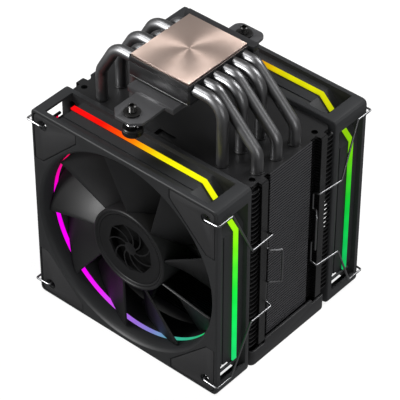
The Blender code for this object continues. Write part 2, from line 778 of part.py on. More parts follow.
def mount_brackets(cooler):
    for side, end in ends():
        name = side + "_bracket"
        hole = circle(0, BASE_Y + end * SCREW_REACH, SCREW_SHANK + 0.5 * MM, 16)
        mesh = outline_mesh([tab_outline(end), hole], TAB_TOP - TAB_THICK, TAB_TOP, False)
        bracket = cooler.piece(name, mesh, finish(name, BLACK, 0.4, 0.7))
        y = sorted((BASE_Y + end * 8 * MM, BASE_Y + end * 28 * MM))
        bar = box_mesh((-BAR_HALF, y[0], TAB_TOP - TAB_THICK - 0.2 * MM), (BAR_HALF, y[1], BLOCK_BOTTOM - GAP))
        cooler.tool(bracket, bar, "UNION")
        for x in (-BRACKET_SCREW_X, BRACKET_SCREW_X):
            y = BASE_Y + end * BRACKET_SCREW_Y
            hole = rod_mesh(1.8 * MM, (x, y, 130 * MM), (x, y, 150 * MM), 12)
            cooler.tool(bracket, hole, "DIFFERENCE")


def bracket_screws(cooler):
    """Short screws that hold the brackets under the base block."""
    under = TAB_TOP - TAB_THICK - 0.5 * MM
    head = 2.9 * MM
    shank = 1.45 * MM
    top = BLOCK_BOTTOM + 3 * MM
    bottom = under - 1.6 * MM
    profile = [(0, top), (shank, top), (shank, under), (head, under), (head, bottom), (0, bottom)]
    for side, end in ends():
        for index, x in enumerate((-BRACKET_SCREW_X, BRACKET_SCREW_X)):
            name = side + "_bracket_screw_" + str(index + 1)
            mesh = turned_mesh(profile, 10, False, False)
            mesh.transform(Matrix.Translation((x, BASE_Y + end * BRACKET_SCREW_Y, 0)))
            cooler.piece(name, mesh, finish(name, (0.2, 0.2, 0.2), 0.3, 1.0))


def mount_screws(cooler):
    """The sprung screws that pull the cooler down on the processor, built on their own axis."""
    bottom = HEAD_TOP - HEAD_HEIGHT
    profile = [(0, SCREW_TIP), (SCREW_SHANK - 0.4 * MM, SCREW_TIP), (SCREW_SHANK, SCREW_TIP - 0.4 * MM),
               (SCREW_SHANK, HEAD_TOP), (SCREW_HEAD, HEAD_TOP), (SCREW_HEAD, bottom + 0.8 * MM),
               (SCREW_HEAD - 0.8 * MM, bottom), (1.6 * MM, bottom),
               (0.9 * MM, bottom + 1.8 * MM), (0, bottom + 1.8 * MM)]
    ring_low = TAB_TOP + GAP
    ring_high = ring_low + 0.9 * MM
    bore = SCREW_SHANK + GAP
    ring = [(4.3 * MM, ring_high), (4.3 * MM, ring_low), (bore, ring_low), (bore, ring_high)]
    for side, end in ends():
        place = (0, BASE_Y + end * SCREW_REACH, 0)
        axis = cooler.empty(side + "_screw_axis", place)
        name = side + "_mount_screw"
        screw = turned_mesh(profile, 20, False, False)
        cooler.piece(name, screw, finish(name, (0.12, 0.12, 0.12), 0.3, 1.0), axis)
        name = side + "_retaining_ring"
        washer = turned_mesh(ring, 16, True, False)
        cooler.piece(name, washer, finish(name, (0.05, 0.05, 0.05), 0.35, 0.9), axis)
        name = side + "_spring"
        spring = wire_mesh(spring_route(), SPRING_WIRE, 0)
        cooler.piece(name, spring, finish(name, (0.5, 0.5, 0.5), 0.3, 1.0), axis)


def spring_route():
    """A helix between the screw's head and the tab."""
    low = HEAD_TOP + SPRING_WIRE + GAP
    high = TAB_TOP - TAB_THICK - SPRING_WIRE - GAP
    steps = SPRING_TURNS * 8
    route = []
    for index in range(steps + 1):
        angle = 2 * math.pi * SPRING_TURNS * index / steps
        height = low + (high - low) * index / steps
        route.append((SPRING_RADIUS * math.cos(angle), SPRING_RADIUS * math.sin(angle), height))
    return route


# ---------------------------------------------------------------- wire clips

def clip_corners():
    """A wire clip's corners from the front fan's right side: (x, distance behind the fan's face, z)."""
    upper = [
        (52.5, 2.2, CLIP_MIDDLE / MM + 52.3),
        (52.5, -1.1, CLIP_MIDDLE / MM + 52.5),
        (61.5, -1.1, CLIP_MIDDLE / MM + 53),
        (61.5, 9.3, CLIP_MIDDLE / MM + 53),
        (63.1, 22.2, CLIP_MIDDLE / MM + 23.4),
        (63.1, 37.7, CLIP_MIDDLE / MM + 23.6),
        (59.3, 37.7, CLIP_MIDDLE / MM + 22.6),
        (59.3, 37.7, HANDLE_MIDDLE / MM + 10.6),
        (61.4, 37.7, HANDLE_MIDDLE / MM + 10.5),
        (65.5, 42.5, HANDLE_MIDDLE / MM + 10.3),
    ]
    lower = []
    for x, y, z in reversed(upper):
        middle = HANDLE_MIDDLE if abs(z - HANDLE_MIDDLE / MM) < 12 else CLIP_MIDDLE
        lower.append((x, y, 2 * middle / MM - z))
    return [(x * MM, y * MM, z * MM) for x, y, z in upper + lower]


def wire_clips(cooler):
    """One clip at each side of each fan, hung on the line through its two hooks."""
    pivot = Vector((SCREW_HOLE, -STACK_DEPTH / 2 - FAN_DEPTH - 0.8 * MM, 0))
    for side, end in ends():
        for hand, out in (("left", -1), ("right", 1)):
            name = side + "_wire_clip_" + hand
            hinge = Vector((out * pivot.x, -end * pivot.y, 0))
            axis = cooler.empty(name + "_axis", hinge)
            route = rounded_route(clip_corners(), 0.9 * MM, 1)
            placed = []
            for point in route:
                y = -STACK_DEPTH / 2 - FAN_DEPTH + point.y
                placed.append(Vector((out * point.x, -end * y, point.z)) - hinge)
            mesh = wire_mesh(placed, CLIP_WIRE, 0)
            cooler.piece(name, mesh, finish(name, (0.4, 0.4, 0.41), 0.3, 1.0), axis)


def main():
    clear_scene()
    cooler = Cooler()
    cold_plate(cooler)
    base_block(cooler)
    heat_pipes(cooler)
    fin_stack(cooler)
    top_cover(cooler)
    mount_brackets(cooler)
    bracket_screws(cooler)
    mount_screws(cooler)
    for side in FAN_FACES:
        fan(cooler, side)
    wire_clips(cooler)


main()
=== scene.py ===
# %% [markdown]
# # A tower cooler for a processor, finished for the camera
# The cooler's sizes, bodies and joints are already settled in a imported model, which this
# lesson loads as a fixed frame. Each cell below takes one of its pieces, models it again with
# the small edges, grooves and threads of the real thing, and gives it a surface made of
# shader nodes. The frame stays where it is: a fine piece only stands in for a plain one.

# %% Load the frame and keep its box
import math

import bmesh
import bpy
from mathutils import Matrix, Vector


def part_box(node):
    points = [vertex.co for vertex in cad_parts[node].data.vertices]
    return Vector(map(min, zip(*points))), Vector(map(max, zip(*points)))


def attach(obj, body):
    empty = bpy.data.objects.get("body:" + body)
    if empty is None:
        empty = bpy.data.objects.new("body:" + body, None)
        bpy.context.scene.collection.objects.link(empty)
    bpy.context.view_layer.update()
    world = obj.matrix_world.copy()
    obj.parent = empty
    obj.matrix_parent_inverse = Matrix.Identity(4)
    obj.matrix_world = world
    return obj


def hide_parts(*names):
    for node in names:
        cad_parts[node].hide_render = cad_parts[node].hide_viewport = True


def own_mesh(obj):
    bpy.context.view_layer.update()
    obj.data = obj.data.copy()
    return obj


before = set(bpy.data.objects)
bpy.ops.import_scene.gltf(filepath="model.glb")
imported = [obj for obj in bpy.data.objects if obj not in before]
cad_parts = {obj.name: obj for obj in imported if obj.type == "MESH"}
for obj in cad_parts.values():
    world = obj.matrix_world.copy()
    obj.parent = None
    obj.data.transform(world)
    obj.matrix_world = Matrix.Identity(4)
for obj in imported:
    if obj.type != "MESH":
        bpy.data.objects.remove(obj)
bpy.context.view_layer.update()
MM = 0.001

# %% [markdown]
# ## Measures
# The cooler stands on its top cover, as on a bench, with the cold plate up. Two 120 mm fans
# sit before and behind the fins. A few measures are read back from the frame, so the fine
# pieces cannot drift away from it; the others are the small sizes that only this lesson needs.

# %% Measures of the whole cooler
FAN_SIDE = 120 * MM
FAN_DEPTH = 25 * MM
HALF_SIDE = FAN_SIDE / 2
AXIS_Z = HALF_SIDE
FAN_FACES = {side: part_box(side + "_fan_frame")[0].y for side in ("front", "rear")}
PLATE_LOW, PLATE_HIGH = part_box("cold_plate")
BASE_Y = (PLATE_LOW.y + PLATE_HIGH.y) / 2
TOP = PLATE_HIGH.z
COVER_LOW, COVER_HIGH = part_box("top_cover")
STACK_LOW, STACK_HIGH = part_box("fin_stack")
ENDS = (("front", -1), ("rear", 1))
print("fan faces at y =", {side: round(y / MM, 2) for side, y in FAN_FACES.items()})
print("base centre at y =", round(BASE_Y / MM, 2), "top at z =", round(TOP / MM, 1))

# %% [markdown]
# ## Shader arithmetic
# A pattern is a sum: a ring is the sine of a distance, a stain is noise times a small number.
# Drawn as nodes such a sum soon turns into a web. Here one small class wraps a socket, and
# Python's own operators add the Math nodes, so that a pattern reads as the formula it is.

# %% A socket that Python can calculate with
class Signal:
    """One output socket. An operator on it adds a Math node and gives the node's output."""

    def __init__(self, recipe, socket):
        self.recipe = recipe
        self.socket = socket

    def math(self, operation, *values):
        return self.recipe.node("ShaderNodeMath", {"operation": operation}, dict(enumerate(values)))

    def __add__(self, other):
        return self.math("ADD", self, other)

    def __sub__(self, other):
        return self.math("SUBTRACT", self, other)

    def __mul__(self, other):
        return self.math("MULTIPLY", self, other)

    def __truediv__(self, other):
        return self.math("DIVIDE", self, other)

    def __gt__(self, other):
        return self.math("GREATER_THAN", self, other)

    def __lt__(self, other):
        return self.math("LESS_THAN", self, other)

    def sine(self):
        return self.math("SINE", self)

    def root(self):
        return self.math("SQRT", self)


# %% [markdown]
# A material starts from a Principled BSDF. Values that are the same all over the surface are
# set on its own sockets; only what varies is fed to it from other nodes. One method makes
# every other kind of node, from its type, its settings and the values or links of its inputs.

# %% A recipe for one material
class Recipe:
    """A material, its Principled BSDF and the nodes that feed it."""

    def __init__(self, name, **constants):
        self.material = bpy.data.materials.new(name)
        self.material.use_nodes = True
        self.tree = self.material.node_tree
        self.shader = self.tree.nodes["Principled BSDF"]
        for socket, value in constants.items():
            self.shader.inputs[socket.replace("_", " ").title().replace("Ior", "IOR")].default_value = value

    def node(self, kind, settings, inputs, output=0):
        made = self.tree.nodes.new(kind)
        for key, value in settings.items():
            if key == "stops":
                self.set_stops(made.color_ramp, value)
            else:
                setattr(made, key, value)
        for key, value in inputs.items():
            if isinstance(value, Signal):
                self.tree.links.new(value.socket, made.inputs[key])
            else:
                made.inputs[key].default_value = value
        return Signal(self, made.outputs[output])

    def set_stops(self, ramp, stops):
        ramp.elements.remove(ramp.elements[1])
        for index, (position, colour) in enumerate(stops):
            element = ramp.elements.new(position) if index else ramp.elements[0]
            element.position = position
            element.color = (*colour, 1.0)

    def feed(self, socket, signal):
        self.tree.links.new(signal.socket, self.shader.inputs[socket])

    def place(self, scale=(1, 1, 1), offset=(0, 0, 0)):
        """Object coordinates in metres, moved and then scaled."""
        spot = self.node("ShaderNodeTexCoord", {}, {}, "Object")
        moved = self.node("ShaderNodeVectorMath", {"operation": "SUBTRACT"}, {0: spot, 1: offset})
        return self.node("ShaderNodeVectorMath", {"operation": "MULTIPLY"}, {0: moved, 1: scale})

    def axes(self, spot):
        return [self.node("ShaderNodeSeparateXYZ", {}, {"Vector": spot}, axis) for axis in "XYZ"]

    def noise(self, size, detail=2.0, stretch=(1, 1, 1)):
        """Noise from 0 to 1 whose grains are about as large as size, in metres."""
        spot = self.place(tuple(share / size for share in stretch))
        return self.node("ShaderNodeTexNoise", {}, {"Vector": spot, "Scale": 1.0, "Detail": detail}, "Fac")

    def blend(self, factor, first, second):
        """A colour between two colours."""
        settings = {"data_type": "RGBA", "blend_type": "MIX"}
        inputs = {0: factor, 6: as_colour(first), 7: as_colour(second)}
        return self.node("ShaderNodeMix", settings, inputs, 2)

    def relief(self, height, depth):
        """A bump whose full height is worth depth, in metres."""
        inputs = {"Height": height, "Strength": 1.0, "Distance": depth}
        self.feed("Normal", self.node("ShaderNodeBump", {}, inputs, "Normal"))


def as_colour(value):
    return value if isinstance(value, Signal) else (*value, 1.0)


print("shader helpers ready")

# %% [markdown]
# ## Finishes
# Almost everything here is black, and what tells the pieces apart is the finish. Moulded
# plastic comes out of a spark-eroded tool with a fine grain and is a little uneven in gloss.
# A painted or coated metal is smoother and has a faint orange peel. Rubber is dull.

# %% Moulded plastic, rubber and coated metal
def grained(name, dark, light, roughness, grain, depth, **constants):
    """A dull surface with a fine grain and clouds of slightly different gloss."""
    recipe = Recipe(name, **constants)
    fine = recipe.noise(grain)
    cloud = recipe.noise(14 * MM, 3.0)
    recipe.feed("Base Color", recipe.blend(cloud * 0.7 + fine * 0.3, dark, light))
    recipe.feed("Roughness", cloud * 0.12 + (fine * 0.06 + (roughness - 0.09)))
    recipe.relief(fine, depth)
    return recipe.material


frame_plastic = grained("frame_plastic", (0.0165, 0.017, 0.018), (0.0225, 0.0232, 0.0245), 0.48,
                        0.35 * MM, 0.015 * MM, specular_ior_level=0.13)
cover_plastic = grained("cover_plastic", (0.012, 0.012, 0.013), (0.018, 0.018, 0.019), 0.46,
                        0.4 * MM, 0.015 * MM, specular_ior_level=0.25)
pad_rubber = grained("pad_rubber", (0.019, 0.019, 0.020), (0.025, 0.025, 0.0265), 0.62, 0.3 * MM, 0.02 * MM,
                     specular_ior_level=0.15)
block_black = grained("block_black", (0.009, 0.009, 0.010), (0.015, 0.015, 0.016), 0.36,
                      0.25 * MM, 0.006 * MM, specular_ior_level=0.3)
bracket_black = grained("bracket_black", (0.036, 0.036, 0.038), (0.054, 0.054, 0.057), 0.36,
                        0.6 * MM, 0.01 * MM, metallic=0.3)
screw_black = grained("screw_black", (0.012, 0.012, 0.012), (0.030, 0.029, 0.028), 0.30, 0.3 * MM, 0.006 * MM,
                      metallic=0.8)
print("moulded and coated finishes made")

# %% [markdown]
# The rotor is moulded in the same way, but the bottom of its face lies deep behind the badge
# and collects no light. A mask of the distance from the fan's axis darkens it there.

# %% Rotor plastic
WELL_RADIUS = 14.8 * MM


def rotor_finish():
    recipe = Recipe("blade_plastic", specular_ior_level=0.09)
    fine = recipe.noise(0.5 * MM)
    cloud = recipe.noise(14 * MM, 3.0)
    across, _along, up = recipe.axes(recipe.place(offset=(0, 0, AXIS_Z)))
    outside = (across * across + up * up).root() > WELL_RADIUS
    plastic = recipe.blend(cloud * 0.7 + fine * 0.3, (0.011, 0.011, 0.0115), (0.016, 0.016, 0.017))
    recipe.feed("Base Color", recipe.blend(outside, (0.0008, 0.0008, 0.0008), plastic))
    recipe.feed("Roughness", cloud * 0.12 + (fine * 0.06 + 0.33))
    recipe.relief(fine, 0.010 * MM)
    return recipe.material


blade_plastic = rotor_finish()
print("rotor finish made")

# %% [markdown]
# The fins are stamped from thin sheet, so their black coating shows faint lines in the direction of rolling:
# noise that is stretched a hundred times along one axis. The folded lips at the stack's two sides are painted
# paler, a painted highlight for the light they catch from the side.

# %% Coated fins
LIP_X = 57.5 * MM
LIP_Y = 15.9 * MM


def fin_finish():
    recipe = Recipe("fin_coating", metallic=0.35)
    rolled = recipe.noise(0.4 * MM, 2.0, (1.0, 0.02, 1.0))
    cloud = recipe.noise(20 * MM, 3.0)
    across, along, _up = recipe.axes(recipe.place())
    # Painted highlight: the mask picks the folded lips at the stack's two sides, and they are coloured paler
    # for the side light they catch.
    edge = (across * across > LIP_X ** 2) * (along * along < LIP_Y ** 2)
    coat = recipe.blend(rolled * 0.4 + cloud * 0.6, (0.005, 0.005, 0.0054), (0.010, 0.010, 0.0108))
    recipe.feed("Base Color", recipe.blend(edge, coat, (0.034, 0.0337, 0.037)))
    recipe.feed("Roughness", rolled * 0.10 + (cloud * 0.10 + 0.30))
    recipe.relief(rolled, 0.006 * MM)
    return recipe.material


fin_coating = fin_finish()
print("fin finish made")

# %% [markdown]
# The heat pipes are copper under dark nickel, drawn through a die. Clouds in the plating
# change its tint and its gloss a little, and the reflections do the rest.

# %% Plated, bright and motor metals
def plated(name, dark, light, roughness, grain, depth, clouds=9 * MM, **constants):
    """A metal with clouds of tint and a trace of drawing or turning lines."""
    recipe = Recipe(name, metallic=1.0, **constants)
    cloud = recipe.noise(clouds, 4.0)
    fine = recipe.noise(grain)
    recipe.feed("Base Color", recipe.blend(cloud, dark, light))
    recipe.feed("Roughness", cloud * 0.14 + (fine * 0.06 + (roughness - 0.10)))
    recipe.relief(fine, depth)
    return recipe.material


pipe_nickel = plated("pipe_nickel", (0.10, 0.10, 0.103), (0.14, 0.14, 0.143), 0.40, 1.5 * MM, 0.0012 * MM)
clip_steel = plated("clip_steel", (0.11, 0.11, 0.115), (0.18, 0.18, 0.185), 0.32, 0.5 * MM, 0.001 * MM)
spring_steel = plated("spring_steel", (0.38, 0.38, 0.39), (0.62, 0.62, 0.63), 0.22,
                      0.3 * MM, 0.003 * MM, 3 * MM)
shaft_steel = plated("shaft_steel", (0.45, 0.45, 0.46), (0.62, 0.62, 0.63), 0.18,
                     0.2 * MM, 0.002 * MM, 3 * MM)
bearing_bronze = plated("bearing_bronze", (0.42, 0.26, 0.10), (0.60, 0.40, 0.18), 0.36,
                        0.3 * MM, 0.01 * MM, 3 * MM)
stator_copper = plated("stator_copper", (0.50, 0.20, 0.08), (0.72, 0.34, 0.16), 0.34,
                       0.4 * MM, 0.01 * MM, 2 * MM)
magnet_grey = grained("magnet", (0.035, 0.033, 0.032), (0.07, 0.068, 0.066), 0.62, 0.4 * MM, 0.02 * MM)
board_green = grained("board", (0.006, 0.045, 0.020), (0.010, 0.075, 0.034), 0.35, 0.3 * MM, 0.004 * MM)
print("metal finishes made")

# %% [markdown]
# The cold plate is faced on a lathe. The tool leaves rings round the plate's middle, too fine
# to see one by one, and light spreads across them: bright and dark spokes run out from the
# middle. The shader's anisotropy does this, because without a tangent of its own it takes the
# direction round the piece's Z axis. A sine of the distance adds the rings themselves.

# %% Lathe-faced copper
def copper_finish():
    recipe = Recipe("copper", metallic=1.0, anisotropic=0.75)
    across, along, _up = recipe.axes(recipe.place(offset=(0, BASE_Y, 0)))
    distance = (across * across + along * along).root()
    rings = (distance * (2 * math.pi / (0.45 * MM))).sine() * 0.5 + 0.5
    wander = recipe.noise(6 * MM, 3.0)
    tone = wander * 0.5 + rings * 0.25
    recipe.feed("Base Color", recipe.blend(tone, (0.88, 0.66, 0.56), (0.97, 0.78, 0.69)))
    recipe.feed("Roughness", rings * 0.05 + (wander * 0.05 + 0.26))
    recipe.relief(rings, 0.006 * MM)
    return recipe.material


copper = copper_finish()
print("copper made")

# %% [markdown]
# The light diffusers are milky strips with small lamps under them. Seen from the front, their
# colour goes round the fan like a clock: a ramp turns the angle about the fan's axis into a
# hue. A slow sine dims the strip a little between one lamp and the next, and the rear fan
# runs dimmer than the front one.

# %% Rainbow diffuser
HUES = (
    (0.000, (1.0, 0.0, 0.95)), (0.130, (0.97, 0.0, 1.0)), (0.170, (0.82, 0.02, 0.95)),
    (0.222, (0.42, 0.13, 0.80)), (0.267, (0.23, 0.20, 0.62)), (0.300, (0.14, 0.33, 0.50)),
    (0.330, (0.04, 0.46, 0.30)), (0.378, (0.03, 0.45, 0.20)), (0.400, (0.012, 0.70, 0.16)),
    (0.450, (0.008, 0.84, 0.11)), (0.500, (0.010, 0.80, 0.05)), (0.542, (0.07, 0.86, 0.03)),
    (0.575, (0.20, 0.90, 0.008)), (0.612, (0.46, 0.90, 0.008)), (0.640, (0.90, 0.93, 0.006)),
    (0.705, (0.95, 0.90, 0.005)), (0.725, (0.96, 0.74, 0.005)), (0.745, (0.95, 0.46, 0.004)),
    (0.765, (0.98, 0.24, 0.003)), (0.785, (0.95, 0.09, 0.003)), (0.815, (0.90, 0.008, 0.003)),
    (0.880, (0.90, 0.003, 0.01)), (0.930, (0.86, 0.006, 0.22)), (0.965, (0.96, 0.0, 0.50)),
    (1.000, (1.0, 0.0, 0.95)),
)
LAMP_PITCH = 11 * MM
REAR_DIMMING = 0.35


def diffuser_finish():
    recipe = Recipe("light_diffuser", emission_strength=1.0, roughness=0.4, specular_ior_level=0.0)
    across, along, up = recipe.axes(recipe.place(offset=(0, 0, AXIS_Z)))
    turn = recipe.node("ShaderNodeMath", {"operation": "ARCTAN2"}, {0: up, 1: across}) / (2 * math.pi) + 0.5
    hue = recipe.node("ShaderNodeValToRGB", {"stops": HUES}, {"Fac": turn}, "Color")
    lamps = ((across + up) * (2 * math.pi / LAMP_PITCH)).sine()
    power = lamps * 0.03 + 0.99 - (along > 0.0) * REAR_DIMMING
    glow = recipe.node("ShaderNodeVectorMath", {"operation": "SCALE"}, {0: hue, "Scale": power})
    recipe.feed("Emission Color", glow)
    recipe.feed("Base Color", recipe.blend(0.9, hue, (0.0, 0.0, 0.0)))
    return recipe.material


light_diffuser = diffuser_finish()
print("diffuser made")

# %% [markdown]
# ## Tools of the workshop
# A fine piece is worked out in one bmesh and ends as an object at the origin. It rides on a body of the frame
# and stands in for the plain node. Its edges are shaded sharp where two faces meet at more than a small
# angle.

# %% From a bmesh to a piece
pieces_made = []


def piece(node, shape, body, material, sharp=28):
    mesh = bpy.data.meshes.new(node)
    shape.to_mesh(mesh)
    shape.free()
    mesh.shade_smooth()
    mesh.set_sharp_from_angle(angle=math.radians(sharp))
    mesh.materials.append(material)
    thing = bpy.data.objects.new(node + "_fine", mesh)
    bpy.context.scene.collection.objects.link(thing)
    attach(thing, body)
    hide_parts(node)
    pieces_made.append(thing)
    print(thing.name, len(mesh.polygons), "faces")
    return thing


# %% [markdown]
# Most shapes here are one of four things: a block, an outline given a thickness, a profile
# turned round an axis, or a wire led along a route. Each has a helper that uses the bmesh
# operator a modeller would reach for: create, extrude, spin.

# %% Block, outline, turning
def verts_of(made):
    """The verts among what an extrude, a spin or a duplicate has made."""
    return [item for item in made if isinstance(item, bmesh.types.BMVert)]


def block(low, high):
    shape = bmesh.new()
    size = Vector(high) - Vector(low)
    bmesh.ops.create_cube(shape, size=1.0)
    bmesh.ops.scale(shape, vec=size, verts=shape.verts)
    bmesh.ops.translate(shape, vec=(Vector(high) + Vector(low)) / 2, verts=shape.verts)
    return shape


UPRIGHT = Matrix(((1, 0, 0, 0), (0, 0, 1, 0), (0, 1, 0, 0), (0, 0, 0, 1)))


def slab(outline, low, high, upright=False):
    """A flat outline, extruded from low to high. Upright, it stands in XZ and is thick along Y."""
    shape = bmesh.new()
    corners = [shape.verts.new((across, up, low)) for across, up in outline]
    made = bmesh.ops.extrude_face_region(shape, geom=[shape.faces.new(corners)])
    bmesh.ops.translate(shape, vec=(0, 0, high - low), verts=verts_of(made["geom"]))
    if upright:
        bmesh.ops.transform(shape, matrix=UPRIGHT, verts=shape.verts)
    bmesh.ops.recalc_face_normals(shape, faces=shape.faces)
    return shape


def turned(profile, steps, axis="Y", closed=False):
    """Points of (radius, place along the axis) spun all the way round it."""
    shape = bmesh.new()
    laid = [(r, h, 0) if axis == "Y" else (r, 0, h) for r, h in profile]
    verts = [shape.verts.new(point) for point in laid]
    pairs = list(zip(verts, verts[1:])) + ([(verts[-1], verts[0])] if closed else [])
    edges = [shape.edges.new(pair) for pair in pairs]
    direction = (0, 1, 0) if axis == "Y" else (0, 0, 1)
    bmesh.ops.spin(shape, geom=verts + edges, cent=(0, 0, 0), axis=direction, angle=2 * math.pi, steps=steps,
                   use_merge=True, use_duplicate=False)
    bmesh.ops.remove_doubles(shape, verts=shape.verts, dist=0.001 * MM)
    bmesh.ops.recalc_face_normals(shape, faces=shape.faces)
    return shape


def rod(radius, start, end, segments):
    shape = bmesh.new()
    run = Vector(end) - Vector(start)
    turn = Vector((0, 0, 1)).rotation_difference(run).to_matrix().to_4x4()
    place = Matrix.Translation((Vector(end) + Vector(start)) / 2) @ turn
    bmesh.ops.create_cone(shape, cap_ends=True, segments=segments, radius1=radius, radius2=radius,
                          depth=run.length, matrix=place)
    return shape


print("block, slab, turned and rod ready")

# %% [markdown]
# A wire or a tube begins as a ring of edges. It is extruded along each straight run and spun
# about the centre of each bend, just as a bending machine would form it, so its walls come
# out evenly spaced with no twist.

# %% Wire along a route
def edges_of(made):
    return [item for item in made if isinstance(item, bmesh.types.BMEdge)]


def drawn(shape, edges, move):
    """The ring of edges pulled along a straight run."""
    made = bmesh.ops.extrude_edge_only(shape, edges=edges)["geom"]
    bmesh.ops.translate(shape, vec=move, verts=verts_of(made))
    return edges_of(made)


def tube(route, radius, bend, segments=12, steps=6):
    """A round wire along straight runs, with arcs of one bend radius at the corners."""
    route = [Vector(point) for point in route]
    shape = bmesh.new()
    turn = Vector((0, 0, 1)).rotation_difference(route[1] - route[0]).to_matrix().to_4x4()
    start = bmesh.ops.create_circle(shape, cap_ends=False, segments=segments, radius=radius,
                                    matrix=Matrix.Translation(route[0]) @ turn)
    edges = list({edge for vert in start["verts"] for edge in vert.link_edges})
    here = route[0]
    for before, corner, after in zip(route, route[1:], route[2:]):
        inward = (before - corner).normalized()
        outward = (after - corner).normalized()
        half = inward.angle(outward) / 2
        reach = bend / math.tan(half)
        edges = drawn(shape, edges, corner + inward * reach - here)
        centre = corner + (inward + outward).normalized() * (bend / math.sin(half))
        verts = list({vert for edge in edges for vert in edge.verts})
        made = bmesh.ops.spin(shape, geom=verts + edges, cent=centre, axis=outward.cross(inward), steps=steps,
                              angle=math.pi - 2 * half, use_merge=False, use_duplicate=False)
        edges = edges_of(made["geom_last"])
        here = corner + outward * reach
    drawn(shape, edges, route[-1] - here)
    bmesh.ops.holes_fill(shape, edges=shape.edges, sides=segments)
    bmesh.ops.recalc_face_normals(shape, faces=shape.faces)
    return shape


print("tube ready")

# %% [markdown]
# Holes and pockets are cut with a Boolean modifier whose result is read back into a bmesh.
# After the last cut the long sharp edges are beveled, because every moulded or machined edge
# has a small radius, and it is that radius that catches the light.

# %% Cutting, joining and softening
def stand_in(shape):
    mesh = bpy.data.meshes.new("work")
    shape.to_mesh(mesh)
    shape.free()
    thing = bpy.data.objects.new("work", mesh)
    bpy.context.scene.collection.objects.link(thing)
    return thing


def worked(shape, tool, operation="DIFFERENCE"):
    """The shape with a tool cut out of it, or joined to it with UNION."""
    things = [stand_in(shape), stand_in(tool)]
    change = things[0].modifiers.new("work", "BOOLEAN")
    change.object = things[1]
    change.operation = operation
    change.solver = "EXACT"
    view = bpy.context.evaluated_depsgraph_get()
    mesh = bpy.data.meshes.new_from_object(things[0].evaluated_get(view))
    result = bmesh.new()
    result.from_mesh(mesh)
    for thing in things:
        bpy.data.objects.remove(thing, do_unlink=True)
    bmesh.ops.remove_doubles(result, verts=result.verts, dist=0.005 * MM)
    return result


def gathered(shapes):
    """Several shapes in one bmesh."""
    mesh = bpy.data.meshes.new("gather")
    result = bmesh.new()
    for shape in shapes:
        shape.to_mesh(mesh)
        shape.free()
        result.from_mesh(mesh)
    return result


def beveled(shape, edges, width, segments, clamped=False):
    bmesh.ops.bevel(shape, geom=edges, offset=width, segments=segments, affect="EDGES", profile=0.5,
                    material=-1, clamp_overlap=clamped)


def softened(shape, width, segments=2, over=40):
    """The sharp edges of a shape beveled."""
    bmesh.ops.dissolve_limit(shape, angle_limit=math.radians(0.5), use_dissolve_boundaries=False,
                             verts=shape.verts, edges=shape.edges, delimit={"NORMAL"})
    limit = math.radians(over)
    sharp = [edge for edge in shape.edges if len(edge.link_faces) == 2 and edge.calc_face_angle(0) > limit]
    beveled(shape, sharp, width, segments, clamped=True)
    return shape


def moved(shape, move):
    bmesh.ops.translate(shape, vec=move, verts=shape.verts)
    return shape


def rotated(shape, degrees, axis="Y"):
    turn = Matrix.Rotation(math.radians(degrees), 3, axis)
    bmesh.ops.rotate(shape, cent=(0, 0, 0), matrix=turn, verts=shape.verts)
    return shape


print("Boolean and bevel helpers ready")

# %% [markdown]
# ## The fan frames
# A fan frame is one moulding: a square with clipped corners, a round duct with a flared
# mouth, a shallow channel down each side for the light strips, holes for screws, and four
# arms at the back that hold the motor. It could be built face by face, but it is easier to
# think of it as the moulder does: a blank, minus everything that is air.

# %% The frame's blank and duct
CORNER = 2.7 * MM
FLANGE = 3 * MM
RIM_BEVEL = 0.9 * MM
DUCT = 55.5 * MM
DUCT_MOUTH = 57.4 * MM
MOUTH_DEPTH = 5 * MM
RING_FRONT = 9 * MM
RING_BACK = 11.3 * MM
RING_GROOVE = 0.8 * MM
SLIT = 0.3 * MM
DUCT_STEPS = 120


def is_along(edge, axis):
    return abs(edge.verts[0].co[axis] - edge.verts[1].co[axis]) > 0.1 * MM


def frame_blank():
    shape = block((-HALF_SIDE, 0, -HALF_SIDE), (HALF_SIDE, FAN_DEPTH, HALF_SIDE))
    corners = [edge for edge in shape.edges if is_along(edge, 1)]
    beveled(shape, corners, CORNER, 3)
    rims = [edge for edge in shape.edges if not is_along(edge, 1)]
    beveled(shape, rims, RIM_BEVEL, 3)
    return shape


def duct_tool():
    """The air inside the frame: a flared mouth, a straight bore and the light ring's groove."""
    groove = DUCT + RING_GROOVE
    profile = [(0, FAN_DEPTH + MM), (DUCT + 1.2 * MM, FAN_DEPTH + MM),
               (DUCT + 0.4 * MM, FAN_DEPTH - 0.4 * MM), (DUCT, FAN_DEPTH - 1.4 * MM),
               (DUCT, RING_BACK + SLIT), (groove, RING_BACK + SLIT), (groove, RING_FRONT - SLIT),
               (DUCT, RING_FRONT - SLIT)]
    for step in range(7):
        share = step / 6
        flare = 1 - math.sqrt(1 - share * share)
        profile.append((DUCT + (DUCT_MOUTH - DUCT) * flare, MOUTH_DEPTH * (1 - share)))
    profile += [(DUCT_MOUTH, -MM), (0, -MM)]
    return turned(profile, DUCT_STEPS)


print("blank and duct ready")

# %% [markdown]
# The four sides are the same, each turned to its place. Along a side runs the channel, which
# ends in a 45 degree slope at one corner and opens right through the frame at the other, so
# that a little light shows under the corner. A narrow step in the channel's floor marks
# where the diffuser's carrier is pressed in.

